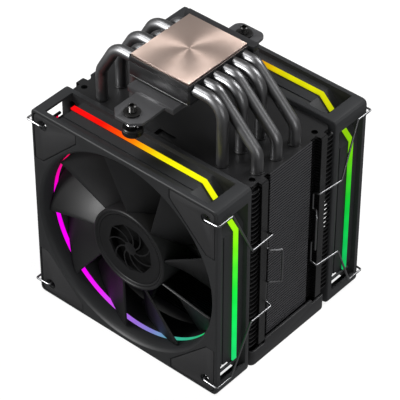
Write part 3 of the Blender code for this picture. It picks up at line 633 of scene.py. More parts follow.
# %% Channels, openings and holes in the sides
CHANNEL_START = -52.8 * MM
CHANNEL_END = 52.4 * MM
CHANNEL_FLOOR = 57.4 * MM
SLOPE_START = 38.5 * MM
SLOPE_END = 46 * MM
OPENING_END = -47.8 * MM
HOLLOW_NEAR = 45.6 * MM
HOLLOW_FAR = 58.7 * MM
STEP_START = -47.2 * MM
STEP_DEPTH = 0.5 * MM
PIN_RADIUS = 0.8 * MM
PIN_X = 58.0 * MM
PIN_Z = 47.2 * MM
PIN_END = 18.4 * MM
SCREW_HOLE = 52.5 * MM
SCREW_HOLE_RADIUS = 2.25 * MM
SIDES = {
    "top": lambda along, out: (along, out),
    "right": lambda along, out: (out, along),
    "bottom": lambda along, out: (-along, -out),
    "left": lambda along, out: (-out, -along),
}


def channel_tool(place):
    past = HALF_SIDE + MM
    foot = CHANNEL_FLOOR - (SLOPE_END - SLOPE_START)
    points = [(CHANNEL_START, past), (CHANNEL_START, CHANNEL_FLOOR), (SLOPE_START, CHANNEL_FLOOR),
              (SLOPE_END, foot), (CHANNEL_END, foot), (CHANNEL_END, past)]
    return slab([place(*point) for point in points], FLANGE, FAN_DEPTH - FLANGE, True)


def opening_tool(place):
    points = [(CHANNEL_START, HALF_SIDE + MM), (CHANNEL_START, HOLLOW_NEAR), (OPENING_END, HOLLOW_NEAR),
              (OPENING_END, HALF_SIDE + MM)]
    return slab([place(*point) for point in points], FLANGE, FAN_DEPTH - FLANGE, True)


def hollow_tool(hand):
    """The empty corner that two of the openings share."""
    x = sorted((-hand * HOLLOW_NEAR, -hand * HOLLOW_FAR))
    z = sorted((hand * HOLLOW_NEAR, hand * HOLLOW_FAR))
    return block((x[0], FLANGE + 0.01 * MM, z[0]), (x[1], FAN_DEPTH - FLANGE - 0.01 * MM, z[1]))


def locating_pin(hand):
    """A pin that stands in the hollow corner, across one of its openings."""
    x, z = -hand * PIN_X, hand * PIN_Z
    return rod(PIN_RADIUS, (x, FLANGE - MM, z), (x, PIN_END, z), 16)


def step_tool(place):
    floor = CHANNEL_FLOOR - STEP_DEPTH
    points = [(STEP_START, HALF_SIDE), (STEP_START, floor), (SLOPE_START, floor), (SLOPE_START, HALF_SIDE)]
    return slab([place(*point) for point in points], FLANGE + 4 * MM, FLANGE + 5 * MM, True)


def corner_places():
    return [(x, z) for x in (-SCREW_HOLE, SCREW_HOLE) for z in (-SCREW_HOLE, SCREW_HOLE)]


print(len(SIDES), "sides,", len(corner_places()), "screw holes")

# %% [markdown]
# Rubber pads sit in shallow pockets at the corners of the outer face. The pocket and the pad
# come from one outline: the pad's is drawn a little smaller, and the difference shows as a
# fine dark line round it.

# %% Pad outlines
PAD_POCKET = 1.0 * MM
PAD_SUNK = 0.15 * MM
PAD_GAP = 0.5 * MM
PAD_NEAR = 29.7 * MM
PAD_FAR = 58.5 * MM
PAD_CLIP = 57 * MM
PAD_DIAGONAL = 53 * MM


def pad_outline(turn, inset):
    near, far = PAD_NEAR + inset, PAD_FAR - inset
    clipped = PAD_CLIP - inset
    diagonal = PAD_DIAGONAL + inset * 0.4
    points = [(near, far), (near, diagonal), (diagonal, near), (far, near), (far, clipped), (clipped, far)]
    angle = math.radians(90 * turn)
    cos, sin = math.cos(angle), math.sin(angle)
    return [(x * cos - z * sin, x * sin + z * cos) for x, z in points]


def pocket_span(side):
    return (-MM, PAD_POCKET) if side == "front" else (FAN_DEPTH - PAD_POCKET, FAN_DEPTH + MM)


def pad_span(side):
    if side == "front":
        return PAD_SUNK, PAD_POCKET
    return FAN_DEPTH - PAD_POCKET, FAN_DEPTH - PAD_SUNK


print("pads reach", round(PAD_FAR / MM, 1), "mm from the fan's axis")

# %% [markdown]
# The motor's disc hangs on four arms that leave it along a tangent, which turns the air a
# little. They are beveled blocks, turned about the fan's axis and joined to the frame.

# %% The motor's disc and its arms
MOUNT_RADIUS = 22.3 * MM
MOUNT_FRONT = 21.5 * MM
BOSS_RADIUS = 5.6 * MM
BOSS_FRONT = 9 * MM
BEARING_BORE = 4.3 * MM
ARMS = 4
ARM_INNER = 16 * MM
ARM_OUTER = 56.6 * MM
ARM_LOW = 10 * MM
ARM_HIGH = 14 * MM
ARM_TURN = 20


def motor_mount():
    rim = MOUNT_RADIUS
    profile = [(rim - 0.6 * MM, FAN_DEPTH - 0.2 * MM), (rim, FAN_DEPTH - 0.8 * MM), (rim, MOUNT_FRONT),
               (BOSS_RADIUS, MOUNT_FRONT), (BOSS_RADIUS, BOSS_FRONT), (BEARING_BORE, BOSS_FRONT),
               (BEARING_BORE, FAN_DEPTH - 1.2 * MM), (12 * MM, FAN_DEPTH - 1.2 * MM),
               (12.6 * MM, FAN_DEPTH - 0.2 * MM)]
    return turned(profile, 72, closed=True)


def arm(index):
    shape = block((ARM_INNER, MOUNT_FRONT + 0.2 * MM, ARM_LOW), (ARM_OUTER, FAN_DEPTH - 0.1 * MM, ARM_HIGH))
    lengthwise = [edge for edge in shape.edges if is_along(edge, 0)]
    beveled(shape, lengthwise, 0.6 * MM, 2)
    return rotated(shape, 360 / ARMS * index + ARM_TURN)


print(ARMS, "arms")

# %% [markdown]
# Now the blank meets its tools. The cuts come first, then one bevel for every edge that is
# left sharp, then the motor's mount is joined on.

# %% Both fan frames
def fan_frame(side):
    shape = worked(frame_blank(), duct_tool())
    for place in SIDES.values():
        shape = worked(shape, channel_tool(place))
        shape = worked(shape, opening_tool(place))
        shape = worked(shape, step_tool(place))
    for hand in (-1, 1):
        shape = worked(shape, hollow_tool(hand))
    holes = [rod(SCREW_HOLE_RADIUS, (x, -MM, z), (x, FAN_DEPTH + MM, z), 24) for x, z in corner_places()]
    shape = worked(shape, gathered(holes))
    low, high = pocket_span(side)
    shape = worked(shape, gathered([slab(pad_outline(turn, 0), low, high, True) for turn in range(4)]))
    softened(shape, 0.3 * MM, 2, 35)
    shape = gathered([shape, motor_mount()] + [arm(index) for index in range(ARMS)]
                     + [locating_pin(hand) for hand in (-1, 1)])
    return moved(shape, (0, FAN_FACES[side], AXIS_Z))


for side in FAN_FACES:
    piece(side + "_fan_frame", fan_frame(side), "tower", frame_plastic)

# %% [markdown]
# ## Pads, light strips and the light ring
# The pads are soft rubber with a hole for the screw. The strips are extruded from their side
# view, which has the bend at the slope; the ring is a turned hoop inside the duct.

# %% Corner pads
def corner_pad(side, turn):
    low, high = pad_span(side)
    shape = slab(pad_outline(turn, PAD_GAP), low, high, True)
    angle = math.radians(90 * turn + 45)
    reach = SCREW_HOLE * math.sqrt(2)
    x, z = reach * math.cos(angle), reach * math.sin(angle)
    shape = worked(shape, rod(SCREW_HOLE_RADIUS + 0.7 * MM, (x, -MM, z), (x, FAN_DEPTH + MM, z), 24))
    softened(shape, 0.2 * MM, 2)
    return moved(shape, (0, FAN_FACES[side], AXIS_Z))


for side in FAN_FACES:
    for turn in range(4):
        piece(f"{side}_corner_pad_{turn + 1}", corner_pad(side, turn), "tower", pad_rubber)

# %% Light strips and rings
BAR_START = -46.3 * MM
BAR_THICK = 1 * MM
BAR_MIDDLE = 15.4 * MM
BAR_HALF_WIDTH = 1.45 * MM


def light_strip(side, place):
    low = CHANNEL_FLOOR + SLIT
    high = low + BAR_THICK
    bend = BAR_THICK * math.tan(math.radians(22.5))
    start = SLOPE_START + SLIT * math.tan(math.radians(22.5))
    run = SLOPE_END - SLOPE_START - 0.8 * MM
    foot = (start + run, low - run)
    step = BAR_THICK * math.cos(math.radians(45))
    points = [(BAR_START, low), (start, low), foot, (foot[0] + step, foot[1] + step), (start + bend, high),
              (BAR_START, high)]
    outline = [place(*point) for point in points]
    shape = slab(outline, BAR_MIDDLE - BAR_HALF_WIDTH, BAR_MIDDLE + BAR_HALF_WIDTH, True)
    softened(shape, 0.2 * MM, 2)
    return moved(shape, (0, FAN_FACES[side], AXIS_Z))


def light_hoop(side):
    inner, outer = DUCT - 0.2 * MM, DUCT + 0.5 * MM
    soft = 0.2 * MM
    profile = [(outer, RING_BACK), (outer, RING_FRONT), (inner + soft, RING_FRONT),
               (inner, RING_FRONT + soft), (inner, RING_BACK - soft), (inner + soft, RING_BACK)]
    return moved(turned(profile, DUCT_STEPS, closed=True), (0, FAN_FACES[side], AXIS_Z))


for side in FAN_FACES:
    for name, place in SIDES.items():
        piece(f"{side}_light_bar_{name}", light_strip(side, place), "tower", light_diffuser)
    piece(side + "_light_ring", light_hoop(side), "tower", light_diffuser)

# %% [markdown]
# ## The rotors
# The rotor is a cup over the motor with nine swept blades. A blade is a grid bent into place:
# one direction runs from hub to tip, the other from the leading edge, near the front, round
# to the trailing edge near the back. Solidify gives it a wall and a bevel rounds its rim.

# %% Blades
HUB_RADIUS = 23.3 * MM
HUB_FRONT = 3 * MM
HUB_BACK = 19.8 * MM
HUB_WALL = 1.6 * MM
BLADES = 9
BLADE_TIP = 54.7 * MM
BLADE_THICK = 1.2 * MM
BLADE_TIP_ANGLE = math.radians(26)
BLADE_SWEEP = math.radians(6.4)
ROOT_SWEEP = math.radians(5.8)
BLADE_CHORD = math.radians(38)
BLADE_RISE = 14.5 * MM


def blade(index):
    shape = bmesh.new()
    bmesh.ops.create_grid(shape, x_segments=16, y_segments=14, size=0.5)
    root = HUB_RADIUS - 1 * MM
    for vert in shape.verts:
        out, back = vert.co.x + 0.5, vert.co.y + 0.5
        radius = root + (BLADE_TIP - root) * out
        sweep = BLADE_SWEEP * (1 - out) + ROOT_SWEEP * (1 - out) ** 4
        lead = BLADE_TIP_ANGLE - sweep + 2 * math.pi / BLADES * index
        angle = lead - BLADE_CHORD * back
        depth = (5 - out) * MM + BLADE_RISE * back ** 1.05
        vert.co = (radius * math.cos(angle), depth, radius * math.sin(angle))
    bmesh.ops.recalc_face_normals(shape, faces=shape.faces)
    bmesh.ops.solidify(shape, geom=list(shape.faces), thickness=BLADE_THICK)
    bmesh.ops.recalc_face_normals(shape, faces=shape.faces)
    sharp = [edge for edge in shape.edges if edge.calc_face_angle(0) > math.radians(50)]
    beveled(shape, sharp, 0.35 * MM, 2)
    return shape


print(BLADES, "blades, one every", 360 / BLADES, "degrees")

# %% [markdown]
# The cup is turned from its wall's section. Its face is sunk inside a rounded rim, and the
# badge lies in it: a plain pinwheel of curved slots, the same all round.

# %% Cups and badges
def cup():
    """The cup from its wall's section: a boss for the shaft, a dark well, a dished face, a round rim."""
    face = HUB_FRONT + 1.9 * MM
    under = HUB_FRONT + 2.9 * MM
    well = HUB_FRONT + 5.4 * MM
    floor = well + 0.9 * MM
    wall = HUB_RADIUS - HUB_WALL
    chamfer, rim = 0.3 * MM, 0.9 * MM
    profile = [(0, under), (1.9 * MM, under), (1.9 * MM, floor), (15.6 * MM, floor), (16.2 * MM, face + MM),
               (wall, face + MM), (wall, HUB_BACK), (HUB_RADIUS - chamfer, HUB_BACK),
               (HUB_RADIUS, HUB_BACK - chamfer), (HUB_RADIUS, HUB_FRONT + rim)]
    for step in range(1, 9):
        angle = math.radians(180 / 9 * step)
        out = HUB_RADIUS - rim + rim * math.cos(angle)
        profile.append((out, HUB_FRONT + rim - rim * math.sin(angle)))
    profile += [(21.4 * MM, HUB_FRONT + 0.8 * MM), (20.9 * MM, HUB_FRONT + 0.65 * MM),
                (20.5 * MM, HUB_FRONT + 0.8 * MM), (20.1 * MM, HUB_FRONT + 1.1 * MM), (20.0 * MM, face),
                (15 * MM, face), (14.6 * MM, well), (3.4 * MM, well), (3 * MM, face), (0, face)]
    return turned(profile, 96)


BADGE_RADIUS = 19.85 * MM
BADGE_FRONT = HUB_FRONT + 1.0 * MM
BADGE_BACK = HUB_FRONT + 1.8 * MM
SLOTS = 9


def slot_tool(index):
    """One curved slot of the pinwheel, narrow near the middle and wide outside."""
    inner, outer, bow, rib = 3.6 * MM, 14.2 * MM, math.radians(46), 0.42 * MM
    pitch = 2 * math.pi / SLOTS
    points = []
    for edge in (1, -1):
        for step in range(9) if edge > 0 else range(8, -1, -1):
            share = step / 8
            radius = inner + (outer - inner) * share
            half = pitch / 2 - rib / radius
            angle = pitch * index + bow * share + edge * half
            points.append((radius * math.cos(angle), radius * math.sin(angle)))
    return slab(points, BADGE_FRONT - MM, BADGE_BACK + MM, True)


def badge():
    """A dished disc: it slopes down to the slots, and its middle stands up again."""
    low = BADGE_BACK - 0.25 * MM
    profile = [(0, BADGE_BACK), (BADGE_RADIUS, BADGE_BACK), (BADGE_RADIUS, BADGE_FRONT + 0.1 * MM)]
    for step in range(1, 8):
        share = step / 7
        fall = (low - BADGE_FRONT) * math.sin(math.radians(90 * share))
        profile.append((BADGE_RADIUS - 0.1 * MM - 5.4 * MM * share, BADGE_FRONT + fall))
    profile += [(3.4 * MM, low), (2.2 * MM, BADGE_FRONT + 0.2 * MM), (0, BADGE_FRONT)]
    return worked(turned(profile, 96), gathered([slot_tool(index) for index in range(SLOTS)]))


badge_black = grained("badge", (0.009, 0.009, 0.0095), (0.013, 0.013, 0.0137), 0.38, 0.6 * MM, 0.004 * MM,
                      specular_ior_level=0.07)
for side in FAN_FACES:
    place = (0, FAN_FACES[side], AXIS_Z)
    body = side + "_fan_rotor"
    shape = gathered([cup()] + [blade(index) for index in range(BLADES)])
    piece(side + "_rotor", moved(shape, place), body, blade_plastic, sharp=32)
    piece(side + "_hub_badge", moved(badge(), place), body, badge_black)

# %% [markdown]
# ## Inside the motor
# The cup hides a ring of magnets, the shaft in its bronze sleeve, the wound iron star and a
# round circuit board. They can be seen from behind, past the arms, so they get their edges
# and their windings too.

# %% Magnets, shaft, bearing, stator and board
def hoop(inner, outer, low, high, steps=64, soft=0.2 * MM):
    """A turned ring with its four edges taken off."""
    profile = [(outer, high - soft), (outer, low + soft), (outer - soft, low), (inner + soft, low),
               (inner, low + soft), (inner, high - soft), (inner + soft, high), (outer - soft, high)]
    return turned(profile, steps, closed=True)


def shaft():
    radius, start, end, tip = 1.5 * MM, 6.1 * MM, 23 * MM, 0.3 * MM
    return turned([(0, start), (radius - tip, start), (radius, start + tip), (radius, end - 1.6 * MM),
                   (radius - tip, end - 1.5 * MM), (radius - tip, end - 1.1 * MM), (radius, end - 1.0 * MM),
                   (radius, end - tip), (radius - tip, end), (0, end)], 32)


POLES = 6
WINDINGS = 10
SHOE_HALF_ANGLE = 22


def stator():
    """An iron star: each pole has a wound neck and a curved shoe."""
    parts = [hoop(5.9 * MM, 9 * MM, 9.5 * MM, 17.5 * MM)]
    for pole in range(POLES):
        neck = block((8.6 * MM, 9.9 * MM, -2.2 * MM), (16.2 * MM, 17.1 * MM, 2.2 * MM))
        shoe = []
        for reach, steps in ((18.6 * MM, range(-4, 5)), (16 * MM, range(4, -5, -1))):
            for step in steps:
                angle = math.radians(SHOE_HALF_ANGLE * step / 4)
                shoe.append((reach * math.cos(angle), reach * math.sin(angle)))
        winding = [hoop(0.5 * MM, 3.4 * MM, 0, 0.55 * MM, 16, 0.15 * MM) for _turn in range(WINDINGS)]
        for turn_index, loop in enumerate(winding):
            rotated(loop, 90, "Z")
            moved(loop, ((15.6 - 0.65 * turn_index) * MM, 13.5 * MM, 0))
        for part in [neck, slab(shoe, 9.5 * MM, 17.5 * MM, True)] + winding:
            parts.append(rotated(part, 360 / POLES * pole))
    return gathered(parts)


# Each chip's distance from the axis, half width and half length.
CHIPS = ((12 * MM, 1.2 * MM, 1.8 * MM), (13 * MM, 0.8 * MM, 1.2 * MM), (11 * MM, 1.5 * MM, 1.5 * MM),
         (14 * MM, 0.6 * MM, 0.9 * MM))


def board():
    plate = hoop(5.9 * MM, 18 * MM, 20.1 * MM, 21.2 * MM, 64, 0.1 * MM)
    chips = []
    for index, (reach, half, long) in enumerate(CHIPS):
        chip = block((reach - half, 19.4 * MM, -long), (reach + half, 20.15 * MM, long))
        chips.append(rotated(chip, 77 * index + 20))
    return gathered([plate] + chips)


for side in FAN_FACES:
    place = (0, FAN_FACES[side], AXIS_Z)
    body = side + "_fan_rotor"
    magnets = hoop(19.6 * MM, 21.3 * MM, 7 * MM, 19 * MM)
    sleeve = hoop(1.6 * MM, 4 * MM, 9.5 * MM, 23.5 * MM, 40)
    piece(side + "_magnet_ring", moved(magnets, place), body, magnet_grey)
    piece(side + "_shaft", moved(shaft(), place), body, shaft_steel)
    piece(side + "_bearing", moved(sleeve, place), "tower", bearing_bronze)
    piece(side + "_stator", moved(stator(), place), "tower", stator_copper)
    piece(side + "_circuit_board", moved(board(), place), "tower", board_green)

# %% [markdown]
# ## The heat pipes
# Six pipes rise from the fins, cross the base side by side and go down again. Their legs
# alternate: one stands near the middle, the next leans out to the stack's edge, so that the
# heat spreads. Each is one tube: straight runs, bends of one radius, closed ends. A pipe whose
# left leg stands near the middle has tighter bends, to turn down clear of the base block. In
# each pair of measures below, the first is for the left and the second for the right.

# %% Heat pipes
PIPES = 6
PIPE_PITCH = 7 * MM
PIPE_RADIUS = 3 * MM
PIPE_TOP = 153.1 * MM
PIPE_END = 15 * MM
PIPE_BEND = 9.5 * MM
TIGHT_BEND = 6.5 * MM
INNER_LEGS = (25.7 * MM, 36 * MM)
OUTER_LEGS = (41.4 * MM, 51.7 * MM)
OUTER_SLOPES = ((31 * MM, 134.6 * MM), (26.6 * MM, 128 * MM))


def pipe_places():
    places = []
    for index in range(PIPES):
        y = BASE_Y + (index - (PIPES - 1) / 2) * PIPE_PITCH
        legs = (OUTER_LEGS[0], INNER_LEGS[1]) if index % 2 == 0 else (INNER_LEGS[0], OUTER_LEGS[1])
        places.append((y, *legs))
    return places


def pipe_route(y, left, right):
    """Down one leg, across the base and down the other. An outer leg has a slope above its foot."""
    def leg(hand, side, reach):
        if reach == INNER_LEGS[hand]:
            return [(side * reach, y, PIPE_TOP)]
        start, foot = OUTER_SLOPES[hand]
        return [(side * start, y, PIPE_TOP), (side * reach, y, foot)]

    return [(-left, y, PIPE_END)] + leg(0, -1, left)[::-1] + leg(1, 1, right) + [(right, y, PIPE_END)]


for index, (y, left, right) in enumerate(pipe_places()):
    bend = TIGHT_BEND if left == INNER_LEGS[0] else PIPE_BEND
    shape = tube(pipe_route(y, left, right), PIPE_RADIUS, bend, 24, 10)
    piece(f"heat_pipe_{index + 1}", shape, "tower", pipe_nickel, sharp=40)

# %% [markdown]
# ## The fin stack
# Each fin is a thin plate, pierced for the pipes. Its side edges are stepped: a recessed
# middle, a deeper groove for the clip's wire, a folded tab that locks it to its neighbour and
# a scalloped end. One fin is cut with care and then copied up the stack.

# %% One fin
FINS = 63
FIN_THICK = 0.4 * MM
FIN_HALF_Y = 31.2 * MM
MIDDLE_HALF_Y = 15.75 * MM
MIDDLE_X = 58 * MM
GROOVE_X = 56.4 * MM
TAB_ENDS = {-1: (19.5 * MM, 24.1 * MM), 1: (20.9 * MM, 25.2 * MM)}
LIP_HEIGHT = 0.95 * MM
END_X = 57.2 * MM
END_CLIP = 2.2 * MM
FIN_EDGE = HALF_SIDE - 0.6 * MM


def fin_outline():
    """Round the fin from the middle of its right side: each corner steps out to its tab."""
    points = []
    for hand, end in ((1, 1), (-1, 1), (-1, -1), (1, -1)):
        near, far = TAB_ENDS[end]
        corner = [(MIDDLE_X, MIDDLE_HALF_Y), (GROOVE_X, MIDDLE_HALF_Y + 0.6 * MM),
                  (GROOVE_X, near - 0.3 * MM), (FIN_EDGE, near), (FIN_EDGE, far), (END_X, far),
                  (END_X, FIN_HALF_Y - END_CLIP), (END_X - END_CLIP, FIN_HALF_Y)]
        placed = [(hand * x, end * y) for x, y in corner]
        points += placed if hand == end else placed[::-1]
    return points


def leg_places():
    """Where the pipes' legs pass through the fins."""
    return [(x, y) for y, left, right in pipe_places() for x in (-left, right)]


def fin_holes(low, high):
    return gathered([rod(PIPE_RADIUS + 0.12 * MM, (x, y, low), (x, y, high), 20) for x, y in leg_places()])


def fin():
    """A pierced plate, with a lip folded up along the middle of each side."""
    shape = worked(slab(fin_outline(), 0, FIN_THICK), fin_holes(-MM, MM))
    reach = MIDDLE_HALF_Y - 0.1 * MM
    lips = []
    for hand in (-1, 1):
        x = sorted((hand * (MIDDLE_X - 0.4 * MM), hand * (MIDDLE_X + 0.02 * MM)))
        lips.append(block((x[0], -reach, 0.02 * MM), (x[1], reach, LIP_HEIGHT)))
    return gathered([shape] + lips)


print("fin outline of", len(fin_outline()), "points")

# %% [markdown]
# The tabs of neighbouring fins meet in a smooth column at each side of the groove, and the
# scalloped ends stand in front of it like a ladder of small crescents. The top fin has four
# round holes, a slot and the collars of the pipes.

# %% The whole stack
TAB_THICK = 0.5 * MM
CRESCENT_PITCH = 2.85 * MM
CRESCENT_HALF = 3.1 * MM
CRESCENT_HEIGHT = 1.1 * MM
CRESCENT_WIDTH = 1.3 * MM
CRESCENTS = 36
TOP_HOLE_RADIUS = 1.7 * MM
TOP_HOLE_X = 54 * MM
TOP_HOLE_Y = (-24.5 * MM, 22.5 * MM)
TOP_SLOT = ((-4.3 * MM, -28.7 * MM), (6.4 * MM, -24.1 * MM))
COLLAR_HEIGHT = 0.6 * MM


def copies(shape, count, pitch):
    """Copies of a whole shape, one above the other."""
    first = list(shape.verts) + list(shape.edges) + list(shape.faces)
    for index in range(1, count):
        made = bmesh.ops.duplicate(shape, geom=first)["geom"]
        bmesh.ops.translate(shape, vec=(0, 0, pitch * index), verts=verts_of(made))
    return shape


def tab(hand, end):
    """The folded tab of one fin, reaching up to the next."""
    x = sorted((hand * (HALF_SIDE - TAB_THICK), hand * HALF_SIDE))
    y = sorted(end * edge for edge in TAB_ENDS[end])
    return block((x[0], y[0], 0), (x[1], y[1], fin_pitch * 0.93))


def crescent(hand, end):
    """A thin half-round lip, hung between the tab column and the stack's end."""
    shape = bmesh.new()
    steps = 8
    arc = []
    for step in range(steps + 1):
        angle = math.radians(180 + 180 * step / steps)
        across, up = CRESCENT_HALF * math.cos(angle), CRESCENT_HEIGHT * math.sin(angle)
        arc.append(shape.verts.new((0, across, up)))
    edges = [shape.edges.new(pair) for pair in zip(arc, arc[1:])]
    made = bmesh.ops.extrude_edge_only(shape, edges=edges)["geom"]
    bmesh.ops.translate(shape, vec=(hand * CRESCENT_WIDTH, 0, 0), verts=verts_of(made))
    bmesh.ops.recalc_face_normals(shape, faces=shape.faces)
    bmesh.ops.solidify(shape, geom=list(shape.faces), thickness=0.5 * MM)
    bmesh.ops.recalc_face_normals(shape, faces=shape.faces)
    along = TAB_ENDS[end][1] + CRESCENT_HALF + 0.1 * MM
    return moved(shape, (hand * (END_X + 0.4 * MM), end * along, 2 * MM))


fin_pitch = (STACK_HIGH.z - STACK_LOW.z - FIN_THICK) / (FINS - 1)
columns = [copies(tab(hand, end), FINS - 1, fin_pitch) for hand in (-1, 1) for end in (-1, 1)]
ladders = [copies(crescent(hand, end), CRESCENTS, CRESCENT_PITCH) for hand in (-1, 1) for end in (-1, 1)]
shape = copies(fin(), FINS - 1, fin_pitch)
top_fin = moved(fin(), (0, 0, (FINS - 1) * fin_pitch))
for x in (-TOP_HOLE_X, TOP_HOLE_X):
    for y in TOP_HOLE_Y:
        top_fin = worked(top_fin, rod(TOP_HOLE_RADIUS, (x, y, 0), (x, y, 1), 20))
top_fin = worked(top_fin, block((*TOP_SLOT[0], 0), (*TOP_SLOT[1], 1)))
collars = []
for x, y in leg_places():
    collar = hoop(PIPE_RADIUS + 0.05 * MM, PIPE_RADIUS + 0.55 * MM, 0, COLLAR_HEIGHT, 24, 0.1 * MM)
    rotated(collar, 90, "X")
    collars.append(moved(collar, (x, y, STACK_HIGH.z - STACK_LOW.z - 0.05 * MM)))
print("fin pitch", round(fin_pitch / MM, 3), "mm")
stack = gathered([shape, top_fin] + columns + ladders + collars)
piece("fin_stack", moved(stack, (0, 0, STACK_LOW.z)), "tower", fin_coating)

# %% [markdown]
# ## The top cover
# The cover is a shallow moulded tray that hides the pipes' ends. The cooler stands on it here. Its corners
# are rounded and its wall is notched near each of them.

# %% Top cover
COVER_CORNER = 3 * MM
COVER_WALL = 1.5 * MM
NOTCH_X = (57 * MM, 61 * MM)
NOTCH_Y = (18.7 * MM, 31 * MM)
NOTCH_Z = (9.4 * MM, 13 * MM)


def cover():
    shape = block(COVER_LOW, COVER_HIGH)
    corners = [edge for edge in shape.edges if is_along(edge, 2)]
    beveled(shape, corners, COVER_CORNER, 5)
    wall = Vector((COVER_WALL, COVER_WALL, 0))
    hollow = block(COVER_LOW + wall + Vector((0, 0, COVER_WALL)), COVER_HIGH - wall + Vector((0, 0, MM)))
    shape = worked(shape, hollow)
    for hand in (-1, 1):
        for end in (-1, 1):
            x = sorted(hand * edge for edge in NOTCH_X)
            y = sorted(end * edge for edge in NOTCH_Y)
            shape = worked(shape, block((x[0], y[0], NOTCH_Z[0]), (x[1], y[1], NOTCH_Z[1])))
    softened(shape, 0.35 * MM, 2)
    return shape


piece("top_cover", cover(), "tower", cover_plastic)

# %% [markdown]
# ## The base
# The base block clamps the pipes against the cold plate. It has a lip round its top with a
# groove under it, clipped corners and a flange at the back. The plate itself is a slab of
# copper, let into the block, with edges just broken.

# %% Cold plate and base block
BLOCK_BOTTOM = 145.2 * MM
BLOCK_FRONT = 22.2 * MM
BLOCK_BACK = 25.6 * MM
# Half widths at the front's clipped corners, at the sides and at the flange.
BLOCK_HALVES = (18.4 * MM, 19.1 * MM, 21.9 * MM)


def cold_plate():
    return softened(block(PLATE_LOW, PLATE_HIGH), 0.1 * MM, 2)


def block_outline(inset):
    half, wide, flange = [reach - inset for reach in BLOCK_HALVES]
    front, back = BASE_Y - BLOCK_FRONT + inset, BASE_Y + BLOCK_BACK - inset
    right = [(half, front), (wide, front + 0.7 * MM), (wide, back - 4.6 * MM + 2 * inset),
             (flange, back - 4.1 * MM + 2 * inset), (flange, back)]
    return right + [(-x, y) for x, y in reversed(right)]


def base_block():
    top = TOP - 1 * MM
    layers = [(0, BLOCK_BOTTOM, BLOCK_BOTTOM + 1.1 * MM),
              (0.35 * MM, BLOCK_BOTTOM + 0.9 * MM, BLOCK_BOTTOM + 1.5 * MM),
              (0, BLOCK_BOTTOM + 1.4 * MM, top - 3.4 * MM), (0.4 * MM, top - 3.6 * MM, top - 2.4 * MM),
              (0, top - 2.6 * MM, top)]
    shape = softened(slab(block_outline(layers[0][0]), *layers[0][1:]), 0.2 * MM, 2)
    for inset, low, high in layers[1:]:
        shape = worked(shape, slab(block_outline(inset), low, high), "UNION")
    seat = 0.3 * MM
    low = (PLATE_LOW.x - seat, PLATE_LOW.y - seat, PLATE_LOW.z - seat)
    shape = worked(shape, block(low, (PLATE_HIGH.x + seat, PLATE_HIGH.y + seat, TOP + MM)))
    clear = PIPE_RADIUS + 0.3 * MM
    for y, _left, _right in pipe_places():
        channel = rod(clear, (-30 * MM, y, PIPE_TOP), (30 * MM, y, PIPE_TOP), 24)
        shape = worked(shape, channel)
    softened(shape, 0.25 * MM, 2, 35)
    return shape


piece("cold_plate", cold_plate(), "tower", copper)
piece("base_block", base_block(), "tower", block_black)

# %% [markdown]
# ## Brackets and screws
# A bracket is stamped from sheet steel: a tongue that carries the sprung screw, and a plate
# under the base. Two small pan-head screws hold it. The long screw has a knurled head, a
# spring and a ring that keeps it from falling out.

# %% Brackets and their small screws
TAB_TOP = 143.3 * MM
TONGUE_THICK = 1.5 * MM
TONGUE_HALF = 9 * MM
SCREW_REACH = 40.7 * MM
BRACKET_SCREW_X = 10 * MM
BRACKET_SCREW_Y = 16 * MM
BAR_HALF = 14.5 * MM
BAR_NEAR = 8 * MM
BAR_FAR = 28 * MM
# A cutting rod runs from well below the tabs to well above them.
BELOW = 100 * MM
ABOVE = 200 * MM


def tongue_outline(end):
    tip, clip, inner = SCREW_REACH + 7.1 * MM, 4.5 * MM, 12 * MM
    points = [(-TONGUE_HALF, inner), (TONGUE_HALF, inner), (TONGUE_HALF, tip - clip)]
    if end < 0:
        points += [(TONGUE_HALF - clip, tip), (clip - TONGUE_HALF, tip)]
    else:
        for hand in (1, -1):
            steps = range(1, 9) if hand > 0 else range(8, 0, -1)
            for step in steps:
                angle = math.radians(90 * step / 9)
                x = TONGUE_HALF - clip * (1 - math.cos(angle))
                points.append((hand * x, tip - clip * (1 - math.sin(angle))))
    points.append((-TONGUE_HALF, tip - clip))
    return [(x, BASE_Y + end * y) for x, y in points]


def bracket(end):
    shape = slab(tongue_outline(end), TAB_TOP - TONGUE_THICK, TAB_TOP)
    y = sorted((BASE_Y + end * BAR_NEAR, BASE_Y + end * BAR_FAR))
    bar = block((-BAR_HALF, y[0], TAB_TOP - 1.7 * MM), (BAR_HALF, y[1], BLOCK_BOTTOM - SLIT))
    shape = worked(shape, bar, "UNION")
    y = BASE_Y + end * SCREW_REACH
    shape = worked(shape, rod(2.5 * MM, (0, y, BELOW), (0, y, ABOVE), 32))
    for x in (-BRACKET_SCREW_X, BRACKET_SCREW_X):
        y = BASE_Y + end * BRACKET_SCREW_Y
        shape = worked(shape, rod(1.8 * MM, (x, y, BELOW), (x, y, ABOVE), 24))
    return softened(shape, 0.25 * MM, 2)


def cross_tool(width, long, low, high):
    """The cross in a screw's head."""
    first = block((-long, -width, low), (long, width, high))
    return worked(first, block((-width, -long, low), (width, long, high)), "UNION")


